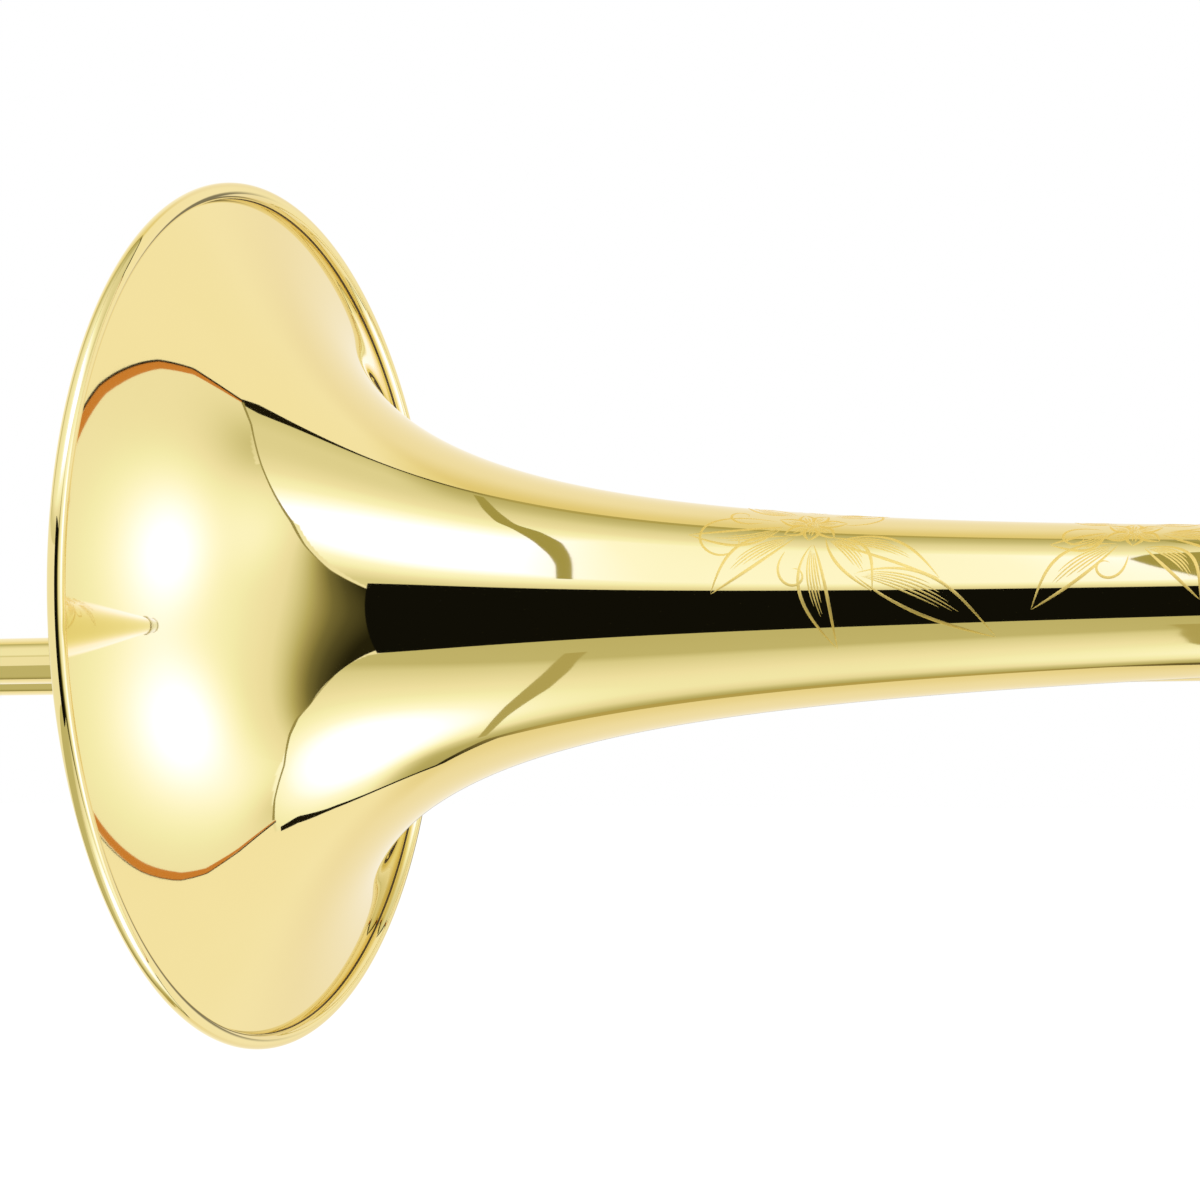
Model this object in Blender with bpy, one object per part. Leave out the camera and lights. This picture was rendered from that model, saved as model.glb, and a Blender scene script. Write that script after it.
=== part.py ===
"""Tenor trombone with a straight bell section, slide closed and lying in the plane of the bell section.

+X runs from the bell's mouth towards the player, +Z is up. The origin is on the neckpipe's axis, at the face
where the slide section seats against the neckpipe receiver. The lower slide tube and the neckpipe share the
X axis, the bell's axis is parallel to it on the -Y side and the upper slide tube on the +Y side.
"""
import math

import bmesh
import bpy
from mathutils import Matrix, Vector

MM = 0.001

# Clearances between neighbours
SEAT_GAP = 0.3 * MM
SLIDE_CLEARANCE = 0.12 * MM
LEG_CLEARANCE = 0.2 * MM
BARREL_CLEARANCE = 0.5 * MM
LOCK_SLOT_CLEARANCE = 0.6 * MM
SPRING_COIL_GAP = 0.45 * MM

# Bell: the outer radius at s from the rim is waist + (flare - waist) * (1 + s / FLARE_REACH) ** -FLARE_POWER
BELL_RADIUS = 101.5 * MM
BELL_LENGTH = 490.0 * MM
BELL_TAIL_RADIUS = 10.9 * MM
BELL_WALL = 0.5 * MM
FLARE_REACH = 30.6 * MM
FLARE_POWER = 1.127
BEAD_RADIUS = 1.75 * MM
BEAD_SWEEP = math.radians(284.0)
RIM_X = -330.0 * MM

# Room beside the lower slide tube's axis: to the bell's rim on one side, to the upper slide tube on the other
RIM_TO_SLIDE_AXIS = 28.5 * MM
SLIDE_SPACING = 85.0 * MM

# Ferrules: rings over soldered joints, drawn down to a thin lip at each end
FERRULE_WALL = 1.2 * MM
FERRULE_LIP = 0.6 * MM
FERRULE_TAPER = 2.0 * MM
BELL_FERRULE_HALF = 12.0 * MM

# Neckpipe and its receiver
NECKPIPE_STEP = 0.65 * MM
NECKPIPE_TAIL_RISE = 0.1 * MM
NECKPIPE_WALL = 0.45 * MM
RECEIVER_LENGTH = 34.0 * MM
RECEIVER_SOCKET_DEPTH = 22.0 * MM
RECEIVER_WALL = 1.9 * MM
TENON_WALL = 0.95 * MM

# Main tuning slide, and the sleeves that its legs run in
BELL_SLEEVE_LENGTH = 98.0 * MM
NECK_SLEEVE_LENGTH = 130.0 * MM
TUNING_LEG_INSERTION = 92.0 * MM
NECK_LEG_RADIUS = 7.6 * MM
LEG_WALL = 0.4 * MM
SLEEVE_WALL = 0.5 * MM
SLEEVE_BEAD = 0.9 * MM
TUNING_STOP_GAP = 1.3 * MM
BOW_SOCKET_DEPTH = 3.8 * MM
BOW_FERRULE_LENGTH = 12.4 * MM

# Hand slide
INNER_RADIUS = 6.75 * MM
INNER_WALL = 0.4 * MM
STOCKING_RISE = 0.13 * MM
STOCKING_LENGTH = 120.0 * MM
OUTER_WALL = 0.4 * MM
INNER_TIP_X = -690.0 * MM
INNER_TAIL_LOWER_X = -6.0 * MM
INNER_TAIL_UPPER_X = -5.0 * MM
INNER_TIP_ROOM = 7.0 * MM
SLIDE_BOW_START = 28.0 * MM
SLIDE_FERRULE_ON_BOW = 9.0 * MM
SLIDE_FERRULE_ON_TUBE = 14.0 * MM
SLIDE_FERRULE_WALL = 1.0 * MM

# Cork barrels, lock ring and lock lug
BARREL_LENGTH = 48.0 * MM
BARREL_WALL = 0.85 * MM
BARREL_END_WALL = 2.0 * MM
CORK_LENGTH = 12.0 * MM
TOP_RING_LENGTH = 55.0 * MM
TOP_RING_WALL = 0.7 * MM
LOCK_RING_OVERHANG = 16.0 * MM
LOCK_RING_LENGTH = 28.0 * MM
LOCK_RING_WALL = 1.6 * MM
LOCK_LUG_DEPTH = 8.0 * MM
LOCK_LUG_RADIUS = 1.3 * MM
LOCK_TURN = math.radians(28.0)

# Bell lock nut
NUT_LENGTH = 22.0 * MM
NUT_FRONT_X = -12.0 * MM
NUT_WALL = 1.8 * MM
BARREL_TO_NUT = 6.0 * MM

# Braces
ROD_RADIUS = 4.0 * MM
ROD_SWELL = 0.8 * MM
FLANGE_HEIGHT = 9.0 * MM
FLANGE_SOCKET = 5.0 * MM
FLANGE_COLLAR = 0.9 * MM
FLANGE_FOOT_RIM = 0.9 * MM
FLANGE_FOOT_LIMIT = 9.9 * MM
FRONT_BRACE_STANDOFF = 18.0 * MM
REAR_BRACE_SETBACK = 62.0 * MM
INNER_BRACE_X = -40.0 * MM
HAND_BRACE_X = -115.0 * MM

# Mouthpiece and its receiver
MOUTHPIECE_LENGTH = 82.0 * MM
SHANK_INSERTION = 25.0 * MM
SHANK_TIP_RADIUS = 5.6 * MM
SHANK_TAPER = 0.026
MOUTHPIECE_SOCKET_END_X = 42.0 * MM
MOUTHPIECE_RIM_RADIUS = 19.3 * MM
CUP_RADIUS = 12.6 * MM
CUP_DEPTH = 23.0 * MM
THROAT_RADIUS = 3.3 * MM
SOCKET_WALL = 1.9 * MM
LEADPIPE_LENGTH = 225.0 * MM
LEADPIPE_WALL = 0.55 * MM

# Bow guard and bumper
GUARD_WALL = 1.0 * MM
GUARD_HALF_ANGLE = math.radians(52.0)
GUARD_WRAP = math.radians(55.0)
BUMPER_SOCKET_STANDOFF = 6.2 * MM
BUMPER_SOCKET_RADIUS = 6.5 * MM
BUMPER_SOCKET_DEPTH = 4.0 * MM
BUMPER_STEM_RADIUS = 4.5 * MM
BUMPER_RADIUS = 7.6 * MM
BUMPER_HEAD = 5.0 * MM
BUMPER_FLAT_RADIUS = 4.6 * MM

# Water key, on the far side of the lower slide tube from the upper one
NIPPLE_SETBACK = 20.0 * MM
NIPPLE_RADIUS = 3.6 * MM
NIPPLE_BORE = 1.6 * MM
NIPPLE_HEIGHT = 4.0 * MM
KEY_CORK_RADIUS = 3.4 * MM
KEY_CORK_HEIGHT = 2.4 * MM
KEY_CUP_WALL = 0.7 * MM
KEY_PIVOT_SETBACK = 2.0 * MM
KEY_TOUCH_REACH = 28.0 * MM
KEY_TOUCH_RADIUS = 5.0 * MM
KEY_TOUCH_LIFT = 2.4 * MM
KEY_ARM_WIDTH = 3.0 * MM
KEY_ARM_THICKNESS = 1.6 * MM
KEY_BARREL_RADIUS = 1.9 * MM
KEY_BARREL_HALF = 6.3 * MM
KEY_ROD_RADIUS = 1.0 * MM
KEY_POST_THICKNESS = 1.4 * MM
KEY_SADDLE_WALL = 1.0 * MM
SPRING_WIRE = 0.3 * MM
SPRING_TURNS = 3
SPRING_PITCH = 1.06 * MM
SPRING_POINTS_PER_TURN = 9
SPRING_LEG = 9.0 * MM

# Facets
TUBE_SIDES = 16
FITTING_SIDES = 12
MOUTHPIECE_SIDES = 20
BELL_SIDES = 40
BELL_STATIONS = 11
BEAD_STEPS = 8
BEAD_STEPS_TO_TOP = 3
RIM_WIRE_SIDES = 5
BOW_STEPS = 10

# Sizes and places that follow from the ones above
BELL_OFFSET = BELL_RADIUS + RIM_TO_SLIDE_AXIS
TAIL_X = RIM_X + BELL_LENGTH
RIM_WIRE_RADIUS = BEAD_RADIUS - BELL_WALL - SEAT_GAP
STOCKING_RADIUS = INNER_RADIUS + STOCKING_RISE
OUTER_RADIUS = STOCKING_RADIUS + SLIDE_CLEARANCE + OUTER_WALL
OUTER_TUBE_END_X = INNER_TIP_X - INNER_TIP_ROOM
SLIDE_BEND_X = OUTER_TUBE_END_X - SLIDE_BOW_START
SLIDE_FERRULE_RADIUS = OUTER_RADIUS + SEAT_GAP + SLIDE_FERRULE_WALL
TOP_RING_RADIUS = OUTER_RADIUS + SEAT_GAP + TOP_RING_WALL
BARREL_BORE = TOP_RING_RADIUS + BARREL_CLEARANCE
BARREL_RADIUS = BARREL_BORE + BARREL_WALL
BARREL_BACK_X = NUT_FRONT_X - BARREL_TO_NUT
BARREL_FRONT_X = BARREL_BACK_X - BARREL_LENGTH
CORK_FRONT_X = BARREL_BACK_X - BARREL_END_WALL - SEAT_GAP - CORK_LENGTH
TOP_RING_X = CORK_FRONT_X - SEAT_GAP
LOCK_RING_BORE = BARREL_RADIUS + SEAT_GAP
LOCK_RING_FRONT_X = BARREL_FRONT_X - LOCK_RING_OVERHANG
LOCK_LUG_X = LOCK_RING_FRONT_X + LOCK_LUG_DEPTH
TENON_RADIUS = INNER_RADIUS + SEAT_GAP + TENON_WALL
RECEIVER_RADIUS = TENON_RADIUS + SEAT_GAP + RECEIVER_WALL
TENON_FLANGE_RADIUS = RECEIVER_RADIUS - SEAT_GAP
NECKPIPE_RADIUS = INNER_RADIUS + NECKPIPE_STEP
NECKPIPE_TAIL_RADIUS = NECK_LEG_RADIUS + NECKPIPE_TAIL_RISE
NECK_SLEEVE_RADIUS = NECK_LEG_RADIUS + LEG_CLEARANCE + SLEEVE_WALL
BELL_SLEEVE_RADIUS = BELL_TAIL_RADIUS
BELL_LEG_RADIUS = BELL_SLEEVE_RADIUS - SLEEVE_WALL - LEG_CLEARANCE
TUNING_SLEEVE_END_X = TAIL_X + BELL_SLEEVE_LENGTH
NECK_SLEEVE_X = TUNING_SLEEVE_END_X - NECK_SLEEVE_LENGTH
FRONT_BRACE_X = RECEIVER_LENGTH + FRONT_BRACE_STANDOFF
REAR_BRACE_X = TUNING_SLEEVE_END_X - REAR_BRACE_SETBACK
LEG_TIP_X = TUNING_SLEEVE_END_X - TUNING_LEG_INSERTION
BOW_FERRULE_X = TUNING_SLEEVE_END_X + TUNING_STOP_GAP
BOW_JOINT_X = BOW_FERRULE_X + BOW_SOCKET_DEPTH
TUNING_BEND_X = BOW_FERRULE_X + BOW_FERRULE_LENGTH + SEAT_GAP
BUMPER_SEAT_X = SLIDE_BEND_X - SLIDE_SPACING / 2 - OUTER_RADIUS - BUMPER_SOCKET_STANDOFF
MOUTHPIECE_TIP_X = MOUTHPIECE_SOCKET_END_X - SHANK_INSERTION
NIPPLE_X = OUTER_TUBE_END_X - NIPPLE_SETBACK
KEY_SADDLE_SEAT = SLIDE_FERRULE_RADIUS + SEAT_GAP
SPRING_COIL_RADIUS = KEY_BARREL_RADIUS + SPRING_COIL_GAP + SPRING_WIRE
KEY_PIVOT_X = OUTER_TUBE_END_X - KEY_PIVOT_SETBACK
KEY_PIVOT_HEIGHT = KEY_SADDLE_SEAT + KEY_SADDLE_WALL + SPRING_COIL_GAP + SPRING_WIRE + SPRING_COIL_RADIUS
KEY_TOUCH_X = KEY_PIVOT_X + KEY_TOUCH_REACH
KEY_ARM_MID = KEY_PIVOT_HEIGHT + SPRING_COIL_RADIUS + SPRING_WIRE + SEAT_GAP + KEY_ARM_THICKNESS / 2

BRASS = ((0.86, 0.64, 0.26), 0.16, 1.0)
NICKEL = ((0.78, 0.76, 0.70), 0.18, 1.0)
CORK = ((0.56, 0.38, 0.22), 0.85, 0.0)
RUBBER = ((0.03, 0.03, 0.03), 0.7, 0.0)
STEEL = ((0.55, 0.56, 0.58), 0.3, 1.0)
SILVER = ((0.86, 0.86, 0.84), 0.1, 1.0)


def clear_scene():
    """Remove whatever the file held before."""
    for obj in list(bpy.data.objects):
        bpy.data.objects.remove(obj, do_unlink=True)


def body_empty(name, location):
    """An empty on a moving body's joint axis, which carries the body's pieces."""
    empty = bpy.data.objects.new(name, None)
    empty.location = location
    bpy.context.collection.objects.link(empty)
    return empty


def add_object(name, bm, finish, body, location=(0, 0, 0), rotation=(0, 0, 0)):
    """Turn a bmesh into a smooth-shaded object with its own material, carried by a body's empty."""
    bmesh.ops.recalc_face_normals(bm, faces=bm.faces)
    mesh = bpy.data.meshes.new(name)
    bm.to_mesh(mesh)
    bm.free()
    mesh.shade_smooth()
    mesh.set_sharp_from_angle(angle=math.radians(32))
    colour, roughness, metallic = finish
    material = bpy.data.materials.new(name)
    material.use_nodes = True
    shader = material.node_tree.nodes["Principled BSDF"]
    shader.inputs["Base Color"].default_value = (*colour, 1.0)
    shader.inputs["Roughness"].default_value = roughness
    shader.inputs["Metallic"].default_value = metallic
    mesh.materials.append(material)
    obj = bpy.data.objects.new(name, mesh)
    obj.parent = body
    obj.location = Vector(location) - body.location
    obj.rotation_euler = rotation
    bpy.context.collection.objects.link(obj)
    return obj


def add_cutter(name, bm, location=(0, 0, 0), rotation=(0, 0, 0)):
    """A guide object that cuts or joins another and isn't a piece itself."""
    bmesh.ops.recalc_face_normals(bm, faces=bm.faces)
    mesh = bpy.data.meshes.new(name)
    bm.to_mesh(mesh)
    bm.free()
    cutter = bpy.data.objects.new(name, mesh)
    cutter.location = location
    cutter.rotation_euler = rotation
    cutter.hide_render = True
    cutter.display_type = "WIRE"
    bpy.context.collection.objects.link(cutter)
    return cutter


def apply_boolean(obj, cutter, operation="DIFFERENCE"):
    """Cut a piece by a guide object, or join the guide to it."""
    modifier = obj.modifiers.new(cutter.name, "BOOLEAN")
    modifier.operation = operation
    modifier.object = cutter
    modifier.solver = "EXACT"


def turned(profile, sides=TUBE_SIDES):
    """Spin (x, r) points once round the X axis: a closed loop, or an open line with both ends on the axis."""
    bm = bmesh.new()
    verts = [bm.verts.new((x, 0, r)) for x, r in profile]
    edges = [bm.edges.new(pair) for pair in zip(verts, verts[1:])]
    if profile[0][1] > 0:
        edges.append(bm.edges.new((verts[-1], verts[0])))
    bmesh.ops.spin(
        bm, geom=verts + edges, cent=(0, 0, 0), axis=(1, 0, 0), angle=2 * math.pi, steps=sides, use_merge=True
    )
    bmesh.ops.remove_doubles(bm, verts=bm.verts, dist=1e-6)
    return bm


def rod_profile(x0, x1, radius):
    """A plain solid rod."""
    return [(x0, 0), (x0, radius), (x1, radius), (x1, 0)]


def tube_profile(x0, x1, outer, inner):
    """A plain tube with square ends."""
    return [(x0, outer), (x1, outer), (x1, inner), (x0, inner)]


def ferrule_profile(x0, x1, bore, wall):
    """A ring whose outside is drawn down to a thin lip at both ends."""
    lip = bore + FERRULE_LIP
    body = bore + wall
    return [(x0, bore), (x0, lip), (x0 + FERRULE_TAPER, body), (x1 - FERRULE_TAPER, body), (x1, lip), (x1, bore)]


def box(size, centre):
    """A box of the given size."""
    bm = bmesh.new()
    bmesh.ops.create_cube(bm, size=1.0, matrix=Matrix.Translation(centre) @ Matrix.Diagonal((*size, 1)))
    return bm


def skin(rings, closed_ends):
    """Join rings of points into walls, with a face over each end, or the last ring joined to the first."""
    bm = bmesh.new()
    loops = [[bm.verts.new(p) for p in ring] for ring in rings]
    if not closed_ends:
        loops.append(loops[0])
    for a, b in zip(loops, loops[1:]):
        for i in range(len(a)):
            j = (i + 1) % len(a)
            bm.faces.new((a[i], a[j], b[j], b[i]))
    if closed_ends:
        bm.faces.new(loops[0])
        bm.faces.new(loops[-1])
    return bm


def bend_stations(start_x, bend_x, spacing, steps):
    """Points and directions along a U bend: a straight run on the X axis, a half circle, and the run back."""
    side = 1.0 if bend_x > start_x else -1.0
    radius = abs(spacing) / 2
    turn = math.copysign(1.0, spacing)
    centre = Vector((bend_x, spacing / 2, 0))
    stations = [(Vector((start_x, 0, 0)), Vector((side, 0, 0)), 0.0)]
    for k in range(steps + 1):
        angle = math.pi * k / steps
        outward = Vector((side * math.sin(angle), -turn * math.cos(angle), 0))
        along = Vector((side * math.cos(angle), turn * math.sin(angle), 0))
        stations.append((centre + outward * radius, along, k / steps))
    stations.append((Vector((start_x, spacing, 0)), Vector((-side, 0, 0)), 1.0))
    return stations


def ring_points(centre, along, radius, sides=TUBE_SIDES):
    """A circle square to the direction, with a point straight up."""
    up = Vector((0, 0, 1))
    across = along.cross(up)
    step = 2 * math.pi / sides
    return [centre + (up * math.cos(i * step) + across * math.sin(i * step)) * radius for i in range(sides)]


def bent_tube(stations, start_radius, end_radius, wall):
    """A U-shaped tube whose outer radius changes evenly along the bend."""
    radii = [start_radius + (end_radius - start_radius) * t for _, _, t in stations]
    outer = [ring_points(p, d, r) for (p, d, _), r in zip(stations, radii)]
    inner = [ring_points(p, d, r - wall) for (p, d, _), r in zip(stations, radii)]
    return skin(outer + inner[::-1], closed_ends=False)


def bell_outer_radius(s):
    """The bell's outer radius at the distance s behind the rim."""
    tail_share = (1 + BELL_LENGTH / FLARE_REACH) ** -FLARE_POWER
    flare = BELL_RADIUS - bell_rim_offset()
    waist = (BELL_TAIL_RADIUS - flare * tail_share) / (1 - tail_share)
    return waist + (flare - waist) * (1 + s / FLARE_REACH) ** -FLARE_POWER


def bell_rim_offset():
    """How far the sheet's edge lies inside the finished rim, because the rolled bead stands beyond it."""
    return 1.2 * BEAD_RADIUS


def bell_normal(s):
    """The outward normal (x, r) of the bell's outer surface."""
    h = 0.01 * MM
    slope = (bell_outer_radius(s + h) - bell_outer_radius(s - h)) / (2 * h)
    length = math.hypot(1.0, slope)
    return -slope / length, 1.0 / length


def bell_profile():
    """The sheet's section: inside from tail to rim, round the rolled bead, outside from rim to tail."""
    spread = 3.2
    stations = [
        BELL_LENGTH * (math.exp(spread * k / BELL_STATIONS) - 1) / (math.exp(spread) - 1)
        for k in range(BELL_STATIONS + 1)
    ]
    outside = []
    inside = []
    for s in stations:
        nx, nr = bell_normal(s)
        r = bell_outer_radius(s)
        outside.append((s, r))
        inside.append((s - nx * BELL_WALL, r - nr * BELL_WALL))
    inside[-1] = (BELL_LENGTH, inside[-1][1])
    nx, nr = bell_normal(0)
    hollow = BEAD_RADIUS - BELL_WALL
    centre = (nx * hollow, bell_outer_radius(0) + nr * hollow)
    start = math.atan2(-nr, -nx) + 2 * math.pi
    top = math.pi / 2
    before_top = [start + (top - start) * k / BEAD_STEPS_TO_TOP for k in range(1, BEAD_STEPS_TO_TOP)]
    after_steps = BEAD_STEPS - BEAD_STEPS_TO_TOP
    after_top = [top - (BEAD_SWEEP + top - start) * k / after_steps for k in range(after_steps + 1)]
    angles = before_top + after_top
    outer_arc = [(centre[0] + BEAD_RADIUS * math.cos(a), centre[1] + BEAD_RADIUS * math.sin(a)) for a in angles]
    inner_arc = [(centre[0] + hollow * math.cos(a), centre[1] + hollow * math.sin(a)) for a in angles]
    return inside[::-1] + outer_arc + inner_arc[::-1] + outside


def bead_centre():
    """Where the rim wire runs: (distance behind the rim, radius)."""
    nx, nr = bell_normal(0)
    hollow = BEAD_RADIUS - BELL_WALL
    return nx * hollow, bell_outer_radius(0) + nr * hollow


def flange_bm(tube_radius):
    """A brace flange: a flared foot on a tube that runs across, rising to a socket for the rod."""
    bore = ROD_RADIUS + SEAT_GAP
    boss = bore + FLANGE_COLLAR
    foot = min(tube_radius + FLANGE_FOOT_RIM, FLANGE_FOOT_LIMIT)
    top = tube_radius + FLANGE_HEIGHT
    profile = [
        (0.45 * tube_radius, 0),
        (0.45 * tube_radius, foot),
        (0.9 * tube_radius, foot),
        (tube_radius + 3.0 * MM, boss),
        (top, boss),
        (top, bore),
        (top - FLANGE_SOCKET, bore),
        (top - FLANGE_SOCKET, 0),
    ]
    return turned(profile, FITTING_SIDES)


def add_brace(prefix, body, x, ends, finish=BRASS):
    """A rod and two flanges between two tubes; an end is (suffix, axis y, radius, cutter profile, sides)."""
    low, high = sorted(ends, key=lambda end: end[1])
    for end, direction in ((low, 1), (high, -1)):
        suffix, y, radius, profile, sides = end
        name = f"{prefix}_flange_{suffix}"
        turn = (0, 0, direction * math.pi / 2)
        flange = add_object(name, flange_bm(radius), finish, body, (x, y, 0), turn)
        apply_boolean(flange, add_cutter(f"{name}_cut", turned(profile, sides), (0, y, 0)))
    y0 = low[1] + low[2] + FLANGE_HEIGHT - FLANGE_SOCKET + SEAT_GAP
    y1 = high[1] - high[2] - FLANGE_HEIGHT + FLANGE_SOCKET - SEAT_GAP
    middle = (y0 + y1) / 2
    swell = ROD_RADIUS + ROD_SWELL
    rod = [
        (y0, 0),
        (y0, ROD_RADIUS),
        (middle - 5.0 * MM, ROD_RADIUS),
        (middle - 3.6 * MM, swell),
        (middle + 3.6 * MM, swell),
        (middle + 5.0 * MM, ROD_RADIUS),
        (y1, ROD_RADIUS),
        (y1, 0),
    ]
    add_object(f"{prefix}_rod", turned(rod, FITTING_SIDES), finish, body, (x, 0, 0), (0, 0, math.pi / 2))


def round_tube_end(suffix, x, y, radius):
    """A brace end on a straight round tube."""
    reach = 16.0 * MM
    return suffix, y, radius, rod_profile(x - reach, x + reach, radius + SEAT_GAP), TUBE_SIDES


def bell_end(x):
    """The front brace's end on the bell's stem, whose radius changes along the flange."""
    reach = 16.0 * MM
    xs = [x - reach, x - reach / 2, x, x + reach / 2, x + reach]
    rise = [(px, bell_outer_radius(px - RIM_X) + SEAT_GAP) for px in xs]
    profile = [(xs[0], 0), *rise, (xs[-1], 0)]
    return "bell", -BELL_OFFSET, bell_outer_radius(x - RIM_X), profile, BELL_SIDES


def build_bell_section():
    """The bell with its rim wire, the neckpipe, the outer tuning sleeves and two braces."""
    body = body_empty("bell_section", (0, 0, 0))
    bell_y = (0, -BELL_OFFSET, 0)
    bell_at_rim = (RIM_X, -BELL_OFFSET, 0)
    add_object("bell", turned(bell_profile(), BELL_SIDES), BRASS, body, bell_at_rim)
    wire_s, wire_r = bead_centre()
    wire = [
        (
            wire_s + RIM_WIRE_RADIUS * math.cos(k * 2 * math.pi / RIM_WIRE_SIDES),
            wire_r + RIM_WIRE_RADIUS * math.sin(k * 2 * math.pi / RIM_WIRE_SIDES),
        )
        for k in range(RIM_WIRE_SIDES)
    ]
    add_object("rim_wire", turned(wire, BELL_SIDES), BRASS, body, bell_at_rim)

    flat_share = math.cos(math.pi / TUBE_SIDES)
    ferrule_bore = (bell_outer_radius(BELL_LENGTH - BELL_FERRULE_HALF) + SEAT_GAP) / flat_share
    ferrule = ferrule_profile(TAIL_X - BELL_FERRULE_HALF, TAIL_X + BELL_FERRULE_HALF, ferrule_bore, FERRULE_WALL)
    add_object("bell_ferrule", turned(ferrule), NICKEL, body, bell_y)
    for name, x0, leg, outer, location in (
        ("bell_tuning_sleeve", TAIL_X + SEAT_GAP, BELL_LEG_RADIUS, BELL_SLEEVE_RADIUS, bell_y),
        ("neck_tuning_sleeve", NECK_SLEEVE_X + SEAT_GAP, NECK_LEG_RADIUS, NECK_SLEEVE_RADIUS, (0, 0, 0)),
    ):
        sleeve = [
            (x0, outer),
            (TUNING_SLEEVE_END_X - 4.5 * MM, outer),
            (TUNING_SLEEVE_END_X - 4.0 * MM, outer + SLEEVE_BEAD),
            (TUNING_SLEEVE_END_X - 0.5 * MM, outer + SLEEVE_BEAD),
            (TUNING_SLEEVE_END_X, outer + 0.5 * SLEEVE_BEAD),
            (TUNING_SLEEVE_END_X, leg + LEG_CLEARANCE),
            (x0, leg + LEG_CLEARANCE),
        ]
        add_object(name, turned(sleeve), NICKEL, body, location)

    neck_bore = NECKPIPE_TAIL_RADIUS + SEAT_GAP
    sleeve_bore = NECK_SLEEVE_RADIUS + SEAT_GAP
    neck_ferrule = [
        (NECK_SLEEVE_X - 10.0 * MM, neck_bore),
        (NECK_SLEEVE_X - 10.0 * MM, neck_bore + FERRULE_LIP),
        (NECK_SLEEVE_X - 7.0 * MM, sleeve_bore + FERRULE_WALL),
        (NECK_SLEEVE_X + 12.0 * MM - FERRULE_TAPER, sleeve_bore + FERRULE_WALL),
        (NECK_SLEEVE_X + 12.0 * MM, sleeve_bore + FERRULE_LIP),
        (NECK_SLEEVE_X + 12.0 * MM, sleeve_bore),
        (NECK_SLEEVE_X - 2.0 * MM, sleeve_bore),
        (NECK_SLEEVE_X - 2.0 * MM, neck_bore),
    ]
    add_object("neck_ferrule", turned(neck_ferrule), NICKEL, body)

    neck_start = RECEIVER_SOCKET_DEPTH + SEAT_GAP
    neckpipe = [
        (neck_start, NECKPIPE_RADIUS),
        (NECK_SLEEVE_X, NECKPIPE_TAIL_RADIUS),
        (NECK_SLEEVE_X, NECKPIPE_TAIL_RADIUS - NECKPIPE_WALL),
        (neck_start, NECKPIPE_RADIUS - NECKPIPE_WALL),
    ]
    add_object("neckpipe", turned(neckpipe), BRASS, body)

    socket_bore = TENON_RADIUS + SEAT_GAP
    pipe_bore = NECKPIPE_RADIUS + SEAT_GAP
    receiver = [
        (0, socket_bore),
        (0, RECEIVER_RADIUS),
        (12.0 * MM, RECEIVER_RADIUS),
        (12.6 * MM, RECEIVER_RADIUS + 0.9 * MM),
        (15.4 * MM, RECEIVER_RADIUS + 0.9 * MM),
        (16.0 * MM, RECEIVER_RADIUS - 0.6 * MM),
        (RECEIVER_LENGTH - 1.0 * MM, pipe_bore + FERRULE_WALL),
        (RECEIVER_LENGTH, pipe_bore + FERRULE_LIP),
        (RECEIVER_LENGTH, pipe_bore),
        (RECEIVER_SOCKET_DEPTH, pipe_bore),
        (RECEIVER_SOCKET_DEPTH, socket_bore),
    ]
    add_object("neckpipe_receiver", turned(receiver), NICKEL, body)

    share = (FRONT_BRACE_X - neck_start) / (NECK_SLEEVE_X - neck_start)
    neck_radius = NECKPIPE_RADIUS + (NECKPIPE_TAIL_RADIUS - NECKPIPE_RADIUS) * share
    neck_end = round_tube_end("neck", FRONT_BRACE_X, 0, neck_radius)
    add_brace("front_brace", body, FRONT_BRACE_X, (bell_end(FRONT_BRACE_X), neck_end))
    rear_ends = (
        round_tube_end("bell", REAR_BRACE_X, -BELL_OFFSET, BELL_SLEEVE_RADIUS),
        round_tube_end("neck", REAR_BRACE_X, 0, NECK_SLEEVE_RADIUS),
    )
    add_brace("rear_brace", body, REAR_BRACE_X, rear_ends)


def build_tuning_slide():
    """Two legs, a tapering bow with its ferrules, and the brace across them."""
    body = body_empty("tuning_slide", (BOW_FERRULE_X, 0, 0))
    sides = (("neck", 0.0, NECK_LEG_RADIUS), ("bell", -BELL_OFFSET, BELL_LEG_RADIUS))
    for suffix, y, radius in sides:
        leg = tube_profile(LEG_TIP_X, BOW_JOINT_X, radius, radius - LEG_WALL)
        add_object(f"tuning_leg_{suffix}", turned(leg), NICKEL, body, (0, y, 0))
        end_x = BOW_FERRULE_X + BOW_FERRULE_LENGTH
        ferrule = ferrule_profile(BOW_FERRULE_X, end_x, radius + SEAT_GAP, FERRULE_WALL)
        add_object(f"tuning_bow_ferrule_{suffix}", turned(ferrule), NICKEL, body, (0, y, 0))
    stations = bend_stations(BOW_JOINT_X + SEAT_GAP, TUNING_BEND_X, -BELL_OFFSET, BOW_STEPS)
    bow = bent_tube(stations, NECK_LEG_RADIUS, BELL_LEG_RADIUS, LEG_WALL)
    add_object("tuning_bow", bow, BRASS, body)
    brace_x = BOW_FERRULE_X + BOW_FERRULE_LENGTH / 2
    ends = [round_tube_end(suffix, brace_x, y, radius + SEAT_GAP + FERRULE_WALL) for suffix, y, radius in sides]
    add_brace("tuning_brace", body, brace_x, ends)


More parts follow.
